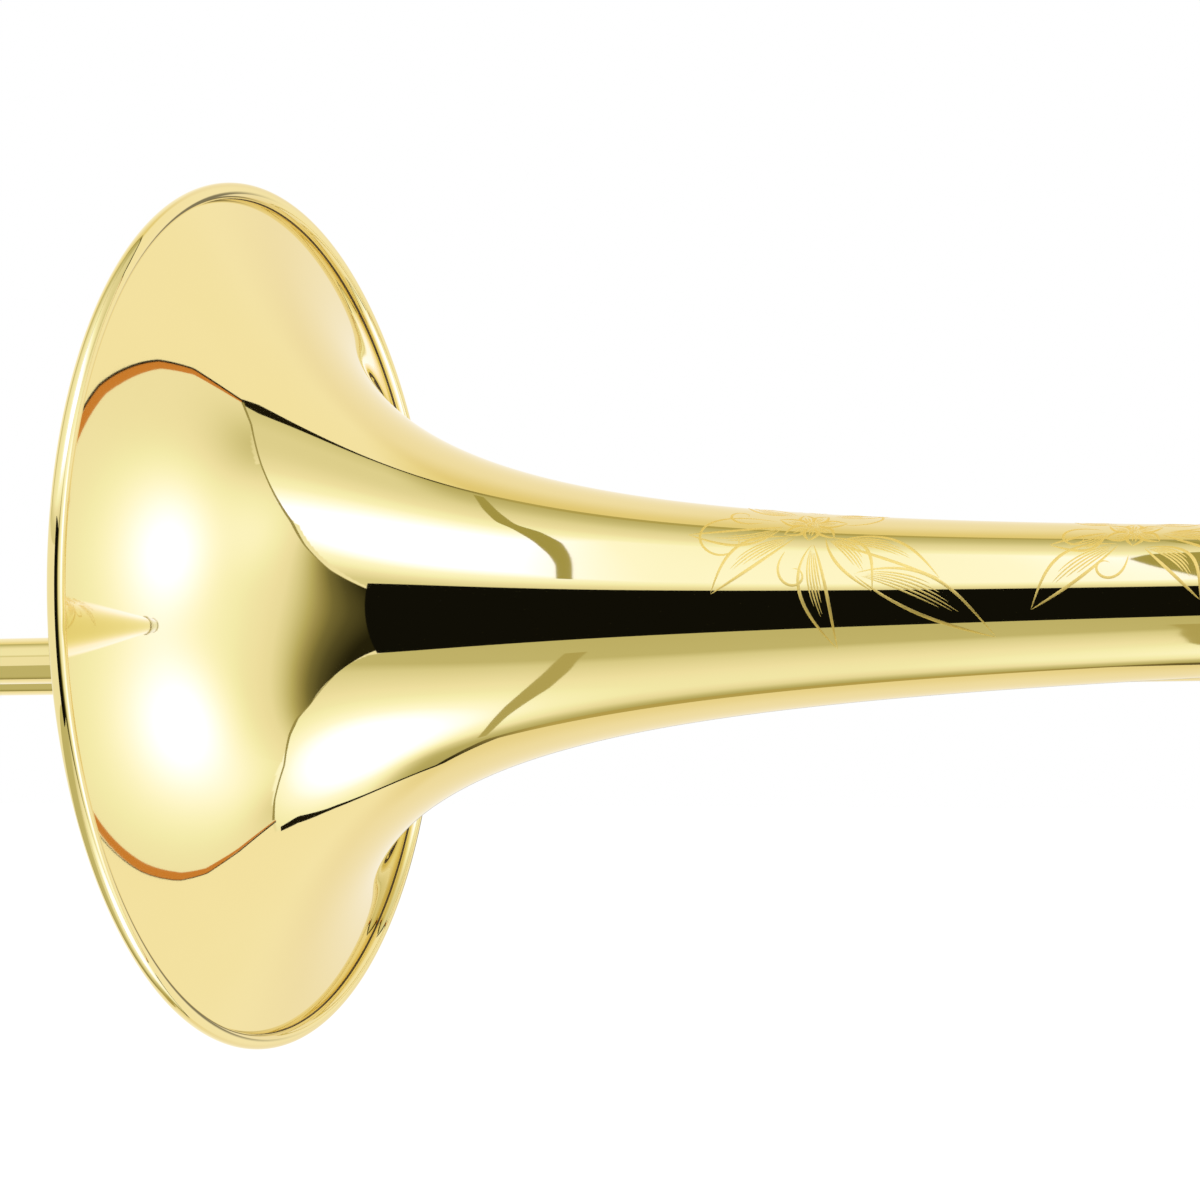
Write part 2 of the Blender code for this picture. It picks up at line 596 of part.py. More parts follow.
def build_inner_slide():
    """The two inner tubes, the cork barrels between which the left hand grips, the tenon and both receivers."""
    body = body_empty("inner_slide", (0, 0, 0))
    for suffix, y, tail_x in (("lower", 0.0, INNER_TAIL_LOWER_X), ("upper", SLIDE_SPACING, INNER_TAIL_UPPER_X)):
        tube = [
            (INNER_TIP_X, STOCKING_RADIUS - 0.1 * MM),
            (INNER_TIP_X + 1.0 * MM, STOCKING_RADIUS),
            (INNER_TIP_X + STOCKING_LENGTH, STOCKING_RADIUS),
            (INNER_TIP_X + STOCKING_LENGTH + 3.0 * MM, INNER_RADIUS),
            (tail_x, INNER_RADIUS),
            (tail_x, INNER_RADIUS - INNER_WALL),
            (INNER_TIP_X, INNER_RADIUS - INNER_WALL),
        ]
        add_object(f"inner_tube_{suffix}", turned(tube), NICKEL, body, (0, y, 0))
        wall_x = BARREL_BACK_X - BARREL_END_WALL
        tube_bore = INNER_RADIUS + SEAT_GAP
        barrel = [
            (BARREL_FRONT_X, BARREL_BORE),
            (BARREL_FRONT_X, BARREL_RADIUS),
            (BARREL_BACK_X - 1.5 * MM, BARREL_RADIUS),
            (BARREL_BACK_X, BARREL_RADIUS - 1.0 * MM),
            (BARREL_BACK_X, tube_bore),
            (wall_x, tube_bore),
            (wall_x, BARREL_BORE),
        ]
        add_object(f"cork_barrel_{suffix}", turned(barrel), NICKEL, body, (0, y, 0))
        cork = tube_profile(CORK_FRONT_X, CORK_FRONT_X + CORK_LENGTH, BARREL_BORE - SEAT_GAP, tube_bore)
        add_object(f"barrel_cork_{suffix}", turned(cork), CORK, body, (0, y, 0))

    ends = (
        round_tube_end("lower", INNER_BRACE_X, 0.0, BARREL_RADIUS),
        round_tube_end("upper", INNER_BRACE_X, SLIDE_SPACING, BARREL_RADIUS),
    )
    add_brace("inner_brace", body, INNER_BRACE_X, ends)

    tube_bore = INNER_RADIUS + SEAT_GAP
    bore_x = INNER_TAIL_LOWER_X + SEAT_GAP
    start_x = BARREL_BACK_X + SEAT_GAP
    flange_front = NUT_FRONT_X + 3.6 * MM
    tenon = [
        (start_x, TENON_RADIUS),
        (flange_front, TENON_RADIUS),
        (flange_front, TENON_FLANGE_RADIUS),
        (-SEAT_GAP, TENON_FLANGE_RADIUS),
        (-SEAT_GAP, TENON_RADIUS),
        (RECEIVER_SOCKET_DEPTH - 1.0 * MM, TENON_RADIUS),
        (RECEIVER_SOCKET_DEPTH - SEAT_GAP, TENON_RADIUS - 0.5 * MM),
        (RECEIVER_SOCKET_DEPTH - SEAT_GAP, NECKPIPE_RADIUS - NECKPIPE_WALL),
        (bore_x, INNER_RADIUS - INNER_WALL),
        (bore_x, tube_bore),
        (start_x, tube_bore),
    ]
    add_object("slide_tenon", turned(tenon), NICKEL, body)

    bore_x = INNER_TAIL_UPPER_X + SEAT_GAP
    socket_tip = SHANK_TIP_RADIUS + SEAT_GAP
    socket_mouth = socket_tip + SHANK_TAPER * SHANK_INSERTION
    end_x = MOUTHPIECE_SOCKET_END_X
    socket_radius = socket_mouth + SOCKET_WALL
    receiver = [
        (start_x, tube_bore),
        (start_x, BARREL_RADIUS - 0.6 * MM),
        (start_x + 4.0 * MM, BARREL_RADIUS - 0.6 * MM),
        (start_x + 7.0 * MM, socket_radius),
        (end_x - 6.0 * MM, socket_radius),
        (end_x - 5.5 * MM, socket_radius + 0.9 * MM),
        (end_x - 0.6 * MM, socket_radius + 0.9 * MM),
        (end_x, socket_radius + 0.3 * MM),
        (end_x, socket_mouth),
        (MOUTHPIECE_TIP_X, socket_tip),
        (MOUTHPIECE_TIP_X - SEAT_GAP, socket_tip),
        (bore_x, socket_tip),
        (bore_x, tube_bore),
    ]
    add_object("mouthpiece_receiver", turned(receiver), NICKEL, body, (0, SLIDE_SPACING, 0))

    pipe_outer = INNER_RADIUS - INNER_WALL - SEAT_GAP
    pipe_mouth = pipe_outer - LEADPIPE_WALL
    pipe_x = INNER_TAIL_UPPER_X
    leadpipe = [
        (pipe_x - LEADPIPE_LENGTH, pipe_outer),
        (pipe_x, pipe_outer),
        (pipe_x, pipe_mouth),
        (pipe_x - 0.25 * LEADPIPE_LENGTH, pipe_mouth - 0.45 * MM),
        (pipe_x - LEADPIPE_LENGTH, pipe_outer - 0.3 * MM),
    ]
    add_object("leadpipe", turned(leadpipe), BRASS, body, (0, SLIDE_SPACING, 0))


def build_bell_lock_nut():
    """The nut that clamps the slide section to the neckpipe receiver, captive behind the tenon's flange."""
    body = body_empty("bell_lock", (0, 0, 0))
    bore = RECEIVER_RADIUS + SEAT_GAP
    lip_bore = TENON_RADIUS + SEAT_GAP
    lip_x = NUT_FRONT_X + 3.3 * MM
    end_x = NUT_FRONT_X + NUT_LENGTH
    nut = [
        (NUT_FRONT_X, lip_bore),
        (NUT_FRONT_X, bore - 0.6 * MM),
        (NUT_FRONT_X + 2.0 * MM, bore + NUT_WALL),
        (NUT_FRONT_X + 8.6 * MM, bore + NUT_WALL),
        (NUT_FRONT_X + 9.4 * MM, bore + NUT_WALL - 0.6 * MM),
        (NUT_FRONT_X + 12.6 * MM, bore + NUT_WALL - 0.6 * MM),
        (NUT_FRONT_X + 13.4 * MM, bore + NUT_WALL),
        (end_x - 1.0 * MM, bore + NUT_WALL),
        (end_x, bore + 0.9 * MM),
        (end_x, bore),
        (lip_x, bore),
        (lip_x, lip_bore),
    ]
    add_object("bell_lock_nut", turned(nut), NICKEL, body)


def lock_slot_sector():
    """The crosswise leg of the lock ring's slot: a sector that runs from the lug's place against the turn."""
    half = LOCK_LUG_RADIUS + LOCK_SLOT_CLEARANCE
    end_play = half / LOCK_RING_BORE
    inner = LOCK_RING_BORE - 1.5 * MM
    outer = LOCK_RING_BORE + LOCK_RING_WALL + 1.5 * MM
    steps = 5
    rings = []
    for k in range(steps + 1):
        angle = math.pi / 2 - (LOCK_TURN + end_play) * k / steps
        out = Vector((0, math.cos(angle), math.sin(angle)))
        ahead = Vector((LOCK_LUG_X - half, 0, 0))
        behind = Vector((LOCK_LUG_X + half, 0, 0))
        rings.append([ahead + out * inner, ahead + out * outer, behind + out * outer, behind + out * inner])
    return skin(rings, closed_ends=True)


def build_lock_ring():
    """The ring on the lower cork barrel, with an L-shaped slot for the lug on the outer slide."""
    body = body_empty("slide_lock", (LOCK_RING_FRONT_X + LOCK_RING_LENGTH, 0, 0))
    end_x = LOCK_RING_FRONT_X + LOCK_RING_LENGTH
    outer = LOCK_RING_BORE + LOCK_RING_WALL
    ring = [
        (LOCK_RING_FRONT_X, LOCK_RING_BORE),
        (LOCK_RING_FRONT_X, outer - 0.5 * MM),
        (LOCK_RING_FRONT_X + 0.8 * MM, outer),
        (end_x - 13.0 * MM, outer),
        (end_x - 12.5 * MM, outer - 0.6 * MM),
        (end_x - 8.5 * MM, outer - 0.6 * MM),
        (end_x - 8.0 * MM, outer),
        (end_x - 0.8 * MM, outer),
        (end_x, outer - 0.5 * MM),
        (end_x, LOCK_RING_BORE),
    ]
    lock = add_object("slide_lock_ring", turned(ring), NICKEL, body)
    half = LOCK_LUG_RADIUS + LOCK_SLOT_CLEARANCE
    entry_start = LOCK_RING_FRONT_X - 1.0 * MM
    entry_end = LOCK_LUG_X + half
    height = LOCK_RING_WALL + 3.0 * MM
    entry = box(
        (entry_end - entry_start, 2 * half, height),
        ((entry_start + entry_end) / 2, 0, LOCK_RING_BORE + LOCK_RING_WALL / 2),
    )
    apply_boolean(lock, add_cutter("lock_slot_entry_cut", entry))
    apply_boolean(lock, add_cutter("lock_slot_turn_cut", lock_slot_sector()))


def guard_rings():
    """Crescent sections of the bow guard, along the outer side of the slide bow."""
    bend = SLIDE_SPACING / 2
    centre = Vector((SLIDE_BEND_X, bend, 0))
    steps = 8
    wrap_steps = 6
    rings = []
    for k in range(steps + 1):
        angle = GUARD_HALF_ANGLE * (2 * k / steps - 1)
        outward = Vector((-math.cos(angle), math.sin(angle), 0))
        middle = centre + outward * bend
        section = []
        for radius, order in ((OUTER_RADIUS + 2 * SEAT_GAP, 1), (OUTER_RADIUS + 2 * SEAT_GAP + GUARD_WALL, -1)):
            for j in range(wrap_steps + 1):
                phi = order * GUARD_WRAP * (2 * j / wrap_steps - 1)
                section.append(middle + (outward * math.cos(phi) + Vector((0, 0, math.sin(phi)))) * radius)
        rings.append(section)
    return rings


def build_slide_bow(body):
    """The bow with its ferrules, the guard plate over it and the rubber bumper."""
    start_x = OUTER_TUBE_END_X - SEAT_GAP
    stations = bend_stations(start_x, SLIDE_BEND_X, SLIDE_SPACING, BOW_STEPS)
    bow = add_object(
        "slide_bow", bent_tube(stations, OUTER_RADIUS, OUTER_RADIUS, OUTER_WALL), BRASS, body
    )
    drain = rod_profile(OUTER_RADIUS - 3.0 * MM, OUTER_RADIUS + 3.0 * MM, NIPPLE_BORE - SEAT_GAP)
    drill = add_cutter("drain_hole_cut", turned(drain, FITTING_SIDES), (NIPPLE_X, 0, 0), (0, 0, -math.pi / 2))
    apply_boolean(bow, drill)

    for suffix, y in (("lower", 0.0), ("upper", SLIDE_SPACING)):
        front = OUTER_TUBE_END_X - SLIDE_FERRULE_ON_BOW
        back = OUTER_TUBE_END_X + SLIDE_FERRULE_ON_TUBE
        ferrule = ferrule_profile(front, back, OUTER_RADIUS + SEAT_GAP, SLIDE_FERRULE_WALL)
        add_object(f"slide_bow_ferrule_{suffix}", turned(ferrule), NICKEL, body, (0, y, 0))

    guard = add_object("bow_guard", skin(guard_rings(), closed_ends=True), NICKEL, body)
    socket_end = BUMPER_SEAT_X
    socket_floor = socket_end + BUMPER_SOCKET_DEPTH
    apex = (0, SLIDE_SPACING / 2, 0)
    foot_x = SLIDE_BEND_X - SLIDE_SPACING / 2 - 2.0 * MM
    boss = [
        (socket_end, BUMPER_STEM_RADIUS + SEAT_GAP),
        (socket_end, BUMPER_SOCKET_RADIUS),
        (foot_x, BUMPER_SOCKET_RADIUS),
        (foot_x, 0),
        (socket_floor, 0),
        (socket_floor, BUMPER_STEM_RADIUS + SEAT_GAP),
    ]
    boss_open = boss[4:] + boss[:4]
    apply_boolean(guard, add_cutter("bumper_boss", turned(boss_open), apex), "UNION")
    core = [ring_points(p, d, OUTER_RADIUS + 2 * SEAT_GAP) for p, d, _ in stations]
    apply_boolean(guard, add_cutter("bow_guard_cut", skin(core, closed_ends=True)))

    head_x = socket_end - SEAT_GAP
    bumper = [
        (socket_floor - SEAT_GAP, 0),
        (socket_floor - SEAT_GAP, BUMPER_STEM_RADIUS),
        (head_x, BUMPER_STEM_RADIUS),
        (head_x, BUMPER_RADIUS - 0.8 * MM),
        (head_x - 0.8 * MM, BUMPER_RADIUS),
        (head_x - 0.5 * BUMPER_HEAD, BUMPER_RADIUS - 0.2 * MM),
        (head_x - 0.85 * BUMPER_HEAD, BUMPER_RADIUS - 1.4 * MM),
        (head_x - BUMPER_HEAD, BUMPER_FLAT_RADIUS),
        (head_x - BUMPER_HEAD, 0),
    ]
    add_object("bumper", turned(bumper), RUBBER, body, apex)


def spring_path():
    """Centre line of the water key spring: the leg on the saddle, the coil, the leg under the lever."""
    pivot = Vector((KEY_PIVOT_X, -KEY_PIVOT_HEIGHT, 0))
    z_start = KEY_BARREL_HALF - SPRING_WIRE - 0.1 * MM
    down = Vector((0, 1, 0))
    ahead = Vector((1, 0, 0))
    turn = 2 * math.pi * SPRING_TURNS + math.pi
    steps = round(turn / (2 * math.pi) * SPRING_POINTS_PER_TURN)
    coil = []
    for k in range(steps + 1):
        angle = turn * k / steps
        z = z_start - SPRING_PITCH * angle / (2 * math.pi)
        around = down * math.cos(angle) - ahead * math.sin(angle)
        coil.append(pivot + around * SPRING_COIL_RADIUS + Vector((0, 0, z)))
    first_leg = [coil[0] + ahead * SPRING_LEG * k / 3 for k in (3, 2, 1)]
    under_arm = Vector((0, 0, KEY_ARM_WIDTH / 4 - coil[-1].z))
    lever_leg = [coil[-1] + ahead * SPRING_LEG * k / 3 + under_arm * (k - 1) / 2 for k in (1, 2, 3)]
    return first_leg + coil + lever_leg


def least_self_gap(path, wire, apart):
    """The smallest gap between two stretches of a tube that lie at least so many points apart."""
    gap = math.inf
    for i, a in enumerate(path):
        for b in path[i + apart:]:
            gap = min(gap, (a - b).length - 2 * wire)
    return gap


def build_spring(body):
    """The water key's torsion spring: one unbroken round wire."""
    path = spring_path()
    gap = least_self_gap(path, SPRING_WIRE, SPRING_POINTS_PER_TURN // 2)
    print(f"water_key_spring: least gap to itself {gap / MM:.2f} mm")
    curve = bpy.data.curves.new("water_key_spring", "CURVE")
    curve.dimensions = "3D"
    curve.bevel_depth = SPRING_WIRE
    curve.bevel_resolution = 1
    curve.use_fill_caps = True
    spline = curve.splines.new("POLY")
    spline.points.add(len(path) - 1)
    for point, p in zip(spline.points, path):
        point.co = (*p, 1.0)
    material = bpy.data.materials.new("water_key_spring")
    material.use_nodes = True
    shader = material.node_tree.nodes["Principled BSDF"]
    shader.inputs["Base Color"].default_value = (*STEEL[0], 1.0)
    shader.inputs["Roughness"].default_value = STEEL[1]
    shader.inputs["Metallic"].default_value = STEEL[2]
    curve.materials.append(material)
    spring = bpy.data.objects.new("water_key_spring", curve)
    spring.parent = body
    spring.location = -body.location
    bpy.context.collection.objects.link(spring)


def build_key_mount(body):
    """The nipple over the drain hole, and the saddle with two posts that carries the water key's hinge rod."""
    nipple_top = OUTER_RADIUS + NIPPLE_HEIGHT
    nipple = [
        (0.5 * OUTER_RADIUS, NIPPLE_BORE),
        (0.5 * OUTER_RADIUS, NIPPLE_RADIUS + 1.2 * MM),
        (OUTER_RADIUS + 0.8 * MM, NIPPLE_RADIUS + 0.9 * MM),
        (OUTER_RADIUS + 1.6 * MM, NIPPLE_RADIUS - 0.6 * MM),
        (nipple_top - 0.8 * MM, NIPPLE_RADIUS - 0.6 * MM),
        (nipple_top, NIPPLE_RADIUS - 1.2 * MM),
        (nipple_top, NIPPLE_BORE),
    ]
    down = (0, 0, -math.pi / 2)
    piece = add_object("water_key_nipple", turned(nipple, FITTING_SIDES), NICKEL, body, (NIPPLE_X, 0, 0), down)
    reach = 9.0 * MM
    tube = rod_profile(NIPPLE_X - reach, NIPPLE_X + reach, OUTER_RADIUS + SEAT_GAP)
    apply_boolean(piece, add_cutter("nipple_tube_cut", turned(tube)))

    seat = KEY_SADDLE_SEAT
    half_length = 6.0 * MM
    steps = 8
    span = math.radians(62)
    rings = []
    for k in range(steps + 1):
        angle = span * (2 * k / steps - 1)
        out = Vector((0, -math.cos(angle), math.sin(angle)))
        front = Vector((KEY_PIVOT_X - half_length, 0, 0))
        back = Vector((KEY_PIVOT_X + half_length, 0, 0))
        outer = seat + KEY_SADDLE_WALL
        rings.append([front + out * seat, front + out * outer, back + out * outer, back + out * seat])
    saddle = add_object("water_key_saddle", skin(rings, closed_ends=True), NICKEL, body)
    post_inside = KEY_BARREL_HALF + SEAT_GAP
    post_top = KEY_PIVOT_HEIGHT + KEY_ROD_RADIUS + 1.6 * MM
    post_foot = 4.0 * MM
    post_half = 2.6 * MM
    for side, label in ((1, "near"), (-1, "far")):
        z = side * (post_inside + KEY_POST_THICKNESS / 2)
        size = (2 * post_half, post_top - post_foot, KEY_POST_THICKNESS)
        post = box(size, (KEY_PIVOT_X, -(post_top + post_foot) / 2, z))
        corners = [e for e in post.edges if all(abs(v.co.y + post_top) < 1e-6 for v in e.verts)]
        rounded = [e for e in corners if abs(e.verts[0].co.z - e.verts[1].co.z) > 1e-6]
        bmesh.ops.bevel(
            post, geom=rounded, offset=2.2 * MM, segments=3, affect="EDGES", profile=0.5, clamp_overlap=True
        )
        apply_boolean(saddle, add_cutter(f"saddle_post_{label}", post), "UNION")
    reach = half_length + 3.0 * MM
    tube = rod_profile(KEY_PIVOT_X - reach, KEY_PIVOT_X + reach, seat)
    apply_boolean(saddle, add_cutter("saddle_tube_cut", turned(tube)))
    hole_half = post_inside + KEY_POST_THICKNESS + 2.0 * MM
    hole = rod_profile(-hole_half, hole_half, KEY_ROD_RADIUS + SEAT_GAP)
    pivot = (KEY_PIVOT_X, -KEY_PIVOT_HEIGHT, 0)
    across = (0, math.pi / 2, 0)
    apply_boolean(saddle, add_cutter("saddle_rod_cut", turned(hole, FITTING_SIDES), pivot, across))
    rod_half = post_inside + KEY_POST_THICKNESS + SEAT_GAP
    head = [
        (-rod_half, 0),
        (-rod_half, KEY_ROD_RADIUS),
        (rod_half, KEY_ROD_RADIUS),
        (rod_half, KEY_ROD_RADIUS + 0.8 * MM),
        (rod_half + 1.0 * MM, KEY_ROD_RADIUS + 0.8 * MM),
        (rod_half + 1.0 * MM, 0),
    ]
    add_object("water_key_hinge_rod", turned(head, FITTING_SIDES), STEEL, body, pivot, across)


def build_outer_slide():
    """The two outer tubes with their top rings, the hand brace, the bow and the water key's mount."""
    body = body_empty("outer_slide", (TOP_RING_X, 0, 0))
    bore = OUTER_RADIUS - OUTER_WALL
    for suffix, y in (("lower", 0.0), ("upper", SLIDE_SPACING)):
        tube = tube_profile(OUTER_TUBE_END_X, TOP_RING_X, OUTER_RADIUS, bore)
        add_object(f"outer_tube_{suffix}", turned(tube), NICKEL, body, (0, y, 0))
        ring_bore = OUTER_RADIUS + SEAT_GAP
        ring = [
            (TOP_RING_X, ring_bore),
            (TOP_RING_X, TOP_RING_RADIUS),
            (TOP_RING_X - TOP_RING_LENGTH + 1.5 * MM, TOP_RING_RADIUS),
            (TOP_RING_X - TOP_RING_LENGTH, ring_bore + 0.3 * MM),
            (TOP_RING_X - TOP_RING_LENGTH, ring_bore),
        ]
        top_ring = add_object(f"top_ring_{suffix}", turned(ring), NICKEL, body, (0, y, 0))
        if suffix == "lower":
            lug_top = LOCK_RING_BORE + LOCK_RING_WALL - 0.3 * MM
            lug = rod_profile(ring_bore + 0.35 * MM, lug_top, LOCK_LUG_RADIUS)
            cutter = add_cutter("lock_lug", turned(lug, FITTING_SIDES), (LOCK_LUG_X, 0, 0), (0, -math.pi / 2, 0))
            apply_boolean(top_ring, cutter, "UNION")
    ends = (
        round_tube_end("lower", HAND_BRACE_X, 0.0, OUTER_RADIUS),
        round_tube_end("upper", HAND_BRACE_X, SLIDE_SPACING, OUTER_RADIUS),
    )
    add_brace("hand_brace", body, HAND_BRACE_X, ends)
    build_slide_bow(body)
    build_key_mount(body)
    build_spring(body)


def build_water_key():
    """The lever with its hinge barrel, cork cup and finger touch, and the cork that closes the nipple."""
    pivot = (KEY_PIVOT_X, -KEY_PIVOT_HEIGHT, 0)
    body = body_empty("water_key", pivot)
    cork_top = OUTER_RADIUS + NIPPLE_HEIGHT + SEAT_GAP
    cork_end = cork_top + KEY_CORK_HEIGHT
    down = (0, 0, -math.pi / 2)
    cork = rod_profile(cork_top, cork_end, KEY_CORK_RADIUS)
    add_object("water_key_cork", turned(cork, FITTING_SIDES), CORK, body, (NIPPLE_X, 0, 0), down)

    cup_bore = KEY_CORK_RADIUS + SEAT_GAP
    cup_floor = cork_end + SEAT_GAP
    cup_end = cup_floor + KEY_ARM_THICKNESS
    cup = [
        (cup_floor, 0),
        (cup_floor, cup_bore),
        (cork_end - 1.5 * MM, cup_bore),
        (cork_end - 1.5 * MM, cup_bore + KEY_CUP_WALL),
        (cup_end - 0.6 * MM, cup_bore + KEY_CUP_WALL),
        (cup_end, cup_bore),
        (cup_end, 0),
    ]
    lever = add_object("water_key_lever", turned(cup, FITTING_SIDES), NICKEL, body, (NIPPLE_X, 0, 0), down)
    spine = (
        (NIPPLE_X, cup_end, KEY_ARM_WIDTH / 2),
        (KEY_PIVOT_X, KEY_ARM_MID, KEY_ARM_WIDTH / 2),
        (KEY_PIVOT_X + 12.0 * MM, KEY_ARM_MID, KEY_ARM_WIDTH / 2),
        (KEY_TOUCH_X - KEY_TOUCH_RADIUS, KEY_ARM_MID + 0.6 * KEY_TOUCH_LIFT, KEY_ARM_WIDTH / 2 + 0.8 * MM),
        (KEY_TOUCH_X, KEY_ARM_MID + KEY_TOUCH_LIFT, KEY_TOUCH_RADIUS),
        (KEY_TOUCH_X + KEY_TOUCH_RADIUS, KEY_ARM_MID + KEY_TOUCH_LIFT, KEY_TOUCH_RADIUS * 0.8),
    )
    half = KEY_ARM_THICKNESS / 2
    rings = [
        [(x, -h + half, -w), (x, -h + half, w), (x, -h - half, w), (x, -h - half, -w)] for x, h, w in spine
    ]
    rings = [[Vector(p) for p in ring] for ring in rings]
    apply_boolean(lever, add_cutter("lever_arm", skin(rings, closed_ends=True)), "UNION")
    web_height = KEY_ARM_MID - KEY_PIVOT_HEIGHT
    web_size = (1.6 * KEY_BARREL_RADIUS, web_height, KEY_ARM_WIDTH)
    web = box(web_size, (KEY_PIVOT_X, -KEY_PIVOT_HEIGHT - web_height / 2, 0))
    apply_boolean(lever, add_cutter("lever_web", web), "UNION")
    across = (0, math.pi / 2, 0)
    barrel = rod_profile(-KEY_BARREL_HALF, KEY_BARREL_HALF, KEY_BARREL_RADIUS)
    apply_boolean(lever, add_cutter("lever_barrel", turned(barrel, FITTING_SIDES), pivot, across), "UNION")
    bore = rod_profile(-KEY_BARREL_HALF - 2.0 * MM, KEY_BARREL_HALF + 2.0 * MM, KEY_ROD_RADIUS + SEAT_GAP)
    apply_boolean(lever, add_cutter("lever_rod_cut", turned(bore, FITTING_SIDES), pivot, across))


def build_mouthpiece():
    """The mouthpiece: cup, throat and backbore inside, tapered shank and turned body outside."""
    body = body_empty("mouthpiece_mount", (MOUTHPIECE_SOCKET_END_X, SLIDE_SPACING, 0))
    tip = MOUTHPIECE_TIP_X
    end = tip + MOUTHPIECE_LENGTH
    shank_end = tip + 0.44 * MOUTHPIECE_LENGTH
    shank_radius = SHANK_TIP_RADIUS + SHANK_TAPER * (shank_end - tip)
    rim = MOUTHPIECE_RIM_RADIUS
    outside = [
        (tip, SHANK_TIP_RADIUS),
        (shank_end, shank_radius),
        (shank_end + 2.0 * MM, shank_radius + 1.5 * MM),
        (shank_end + 5.0 * MM, shank_radius + 1.7 * MM),
        (end - 34.0 * MM, shank_radius + 2.6 * MM),
        (end - 28.0 * MM, 0.60 * rim),
        (end - 22.0 * MM, 0.74 * rim),
        (end - 14.0 * MM, 0.84 * rim),
        (end - 8.0 * MM, 0.88 * rim),
        (end - 6.0 * MM, 0.97 * rim),
        (end - 4.5 * MM, rim),
        (end - 2.0 * MM, rim),
        (end - 0.5 * MM, 0.95 * rim),
    ]
    lip = [
        (end, 0.86 * rim),
        (end - 0.3 * MM, 0.76 * rim),
        (end - 2.5 * MM, CUP_RADIUS),
    ]
    cup = []
    cup_steps = 6
    for k in range(1, cup_steps + 1):
        angle = 0.5 * math.pi * k / cup_steps
        x = end - 2.5 * MM - (CUP_DEPTH - 2.5 * MM) * math.sin(angle)
        r = THROAT_RADIUS + (CUP_RADIUS - THROAT_RADIUS) * math.cos(angle) ** 0.8
        cup.append((x, r))
    backbore = [
        (end - CUP_DEPTH - 6.0 * MM, THROAT_RADIUS),
        (tip, SHANK_TIP_RADIUS - 0.6 * MM),
    ]
    profile = outside + lip + cup + backbore
    add_object("mouthpiece", turned(profile, MOUTHPIECE_SIDES), SILVER, body, (0, SLIDE_SPACING, 0))


def main():
    clear_scene()
    build_bell_section()
    build_tuning_slide()
    build_inner_slide()
    build_bell_lock_nut()
    build_lock_ring()
    build_outer_slide()
    build_water_key()
    build_mouthpiece()


main()
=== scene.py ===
import math

import bmesh
import bpy
import numpy as np
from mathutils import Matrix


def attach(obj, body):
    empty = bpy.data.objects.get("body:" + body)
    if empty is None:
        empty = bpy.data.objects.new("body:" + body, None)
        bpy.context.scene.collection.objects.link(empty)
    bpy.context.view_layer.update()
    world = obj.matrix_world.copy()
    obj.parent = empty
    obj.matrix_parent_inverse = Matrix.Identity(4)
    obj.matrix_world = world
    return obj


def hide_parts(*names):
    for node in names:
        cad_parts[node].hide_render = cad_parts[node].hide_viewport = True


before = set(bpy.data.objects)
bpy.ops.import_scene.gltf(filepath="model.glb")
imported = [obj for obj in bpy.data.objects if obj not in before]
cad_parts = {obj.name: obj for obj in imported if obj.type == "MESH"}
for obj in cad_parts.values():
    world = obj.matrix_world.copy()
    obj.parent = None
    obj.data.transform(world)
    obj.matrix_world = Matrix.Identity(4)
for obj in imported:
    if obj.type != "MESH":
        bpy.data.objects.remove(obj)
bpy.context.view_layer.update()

# Bell: one sheet of yellow brass, drawn out to a flare 203 mm across the mouth, polished and lacquered clear.
# Its edge is rolled outwards over a wire. The outside radius falls off from the rim towards the tail as
# waist + (flare - waist) * (1 + s / reach) ** -power.
MM = 0.001
BELL_RIM_X = -330.0
BELL_AXIS_Y = -130.0
BELL_RADIUS = 101.5
BELL_LENGTH = 490.0
BELL_TAIL_RADIUS = 10.9
BELL_WALL = 0.5
FLARE_REACH = 30.6
FLARE_POWER = 1.127
BEAD_RADIUS = 1.75
BEAD_SWEEP = 322.0
BELL_STATIONS = 170
BELL_COLUMNS = 224


flare = BELL_RADIUS - 1.2 * BEAD_RADIUS
tail_share = (1 + BELL_LENGTH / FLARE_REACH) ** -FLARE_POWER
waist = (BELL_TAIL_RADIUS - flare * tail_share) / (1 - tail_share)


def bell_radius(s):
    """Outer radius at the distance s behind the rim: waist + (flare - waist) * (1 + s/reach)^-power, in mm."""
    return waist + (flare - waist) * (1 + s / FLARE_REACH) ** -FLARE_POWER


def bell_outline():
    """The sheet's closed outline (x, r): inside from tail to rim, round the bead, outside back to the tail."""
    s = BELL_LENGTH * np.expm1(3.8 * np.linspace(0, 1, BELL_STATIONS)) / math.expm1(3.8)
    r = bell_radius(s)
    slope = -(flare - waist) * FLARE_POWER / FLARE_REACH * (1 + s / FLARE_REACH) ** (-FLARE_POWER - 1)
    normal = np.stack([-slope, np.ones_like(s)]) / np.hypot(1, slope)
    outside = np.stack([s, r])
    inside = outside - normal * BELL_WALL
    inside[0, -1] = BELL_LENGTH
    hollow = BEAD_RADIUS - BELL_WALL
    centre = outside[:, :1] + normal[:, :1] * hollow
    start = math.atan2(-normal[1, 0], -normal[0, 0])
    turn = start - math.radians(BEAD_SWEEP) * np.linspace(0.02, 1, 40)
    ray = np.stack([np.cos(turn), np.sin(turn)])
    bead_out = centre + ray * BEAD_RADIUS
    bead_in = centre + ray * hollow
    outline = np.concatenate([inside[:, ::-1], bead_out, bead_in[:, ::-1], outside], axis=1)
    outline[0] += BELL_RIM_X
    return outline


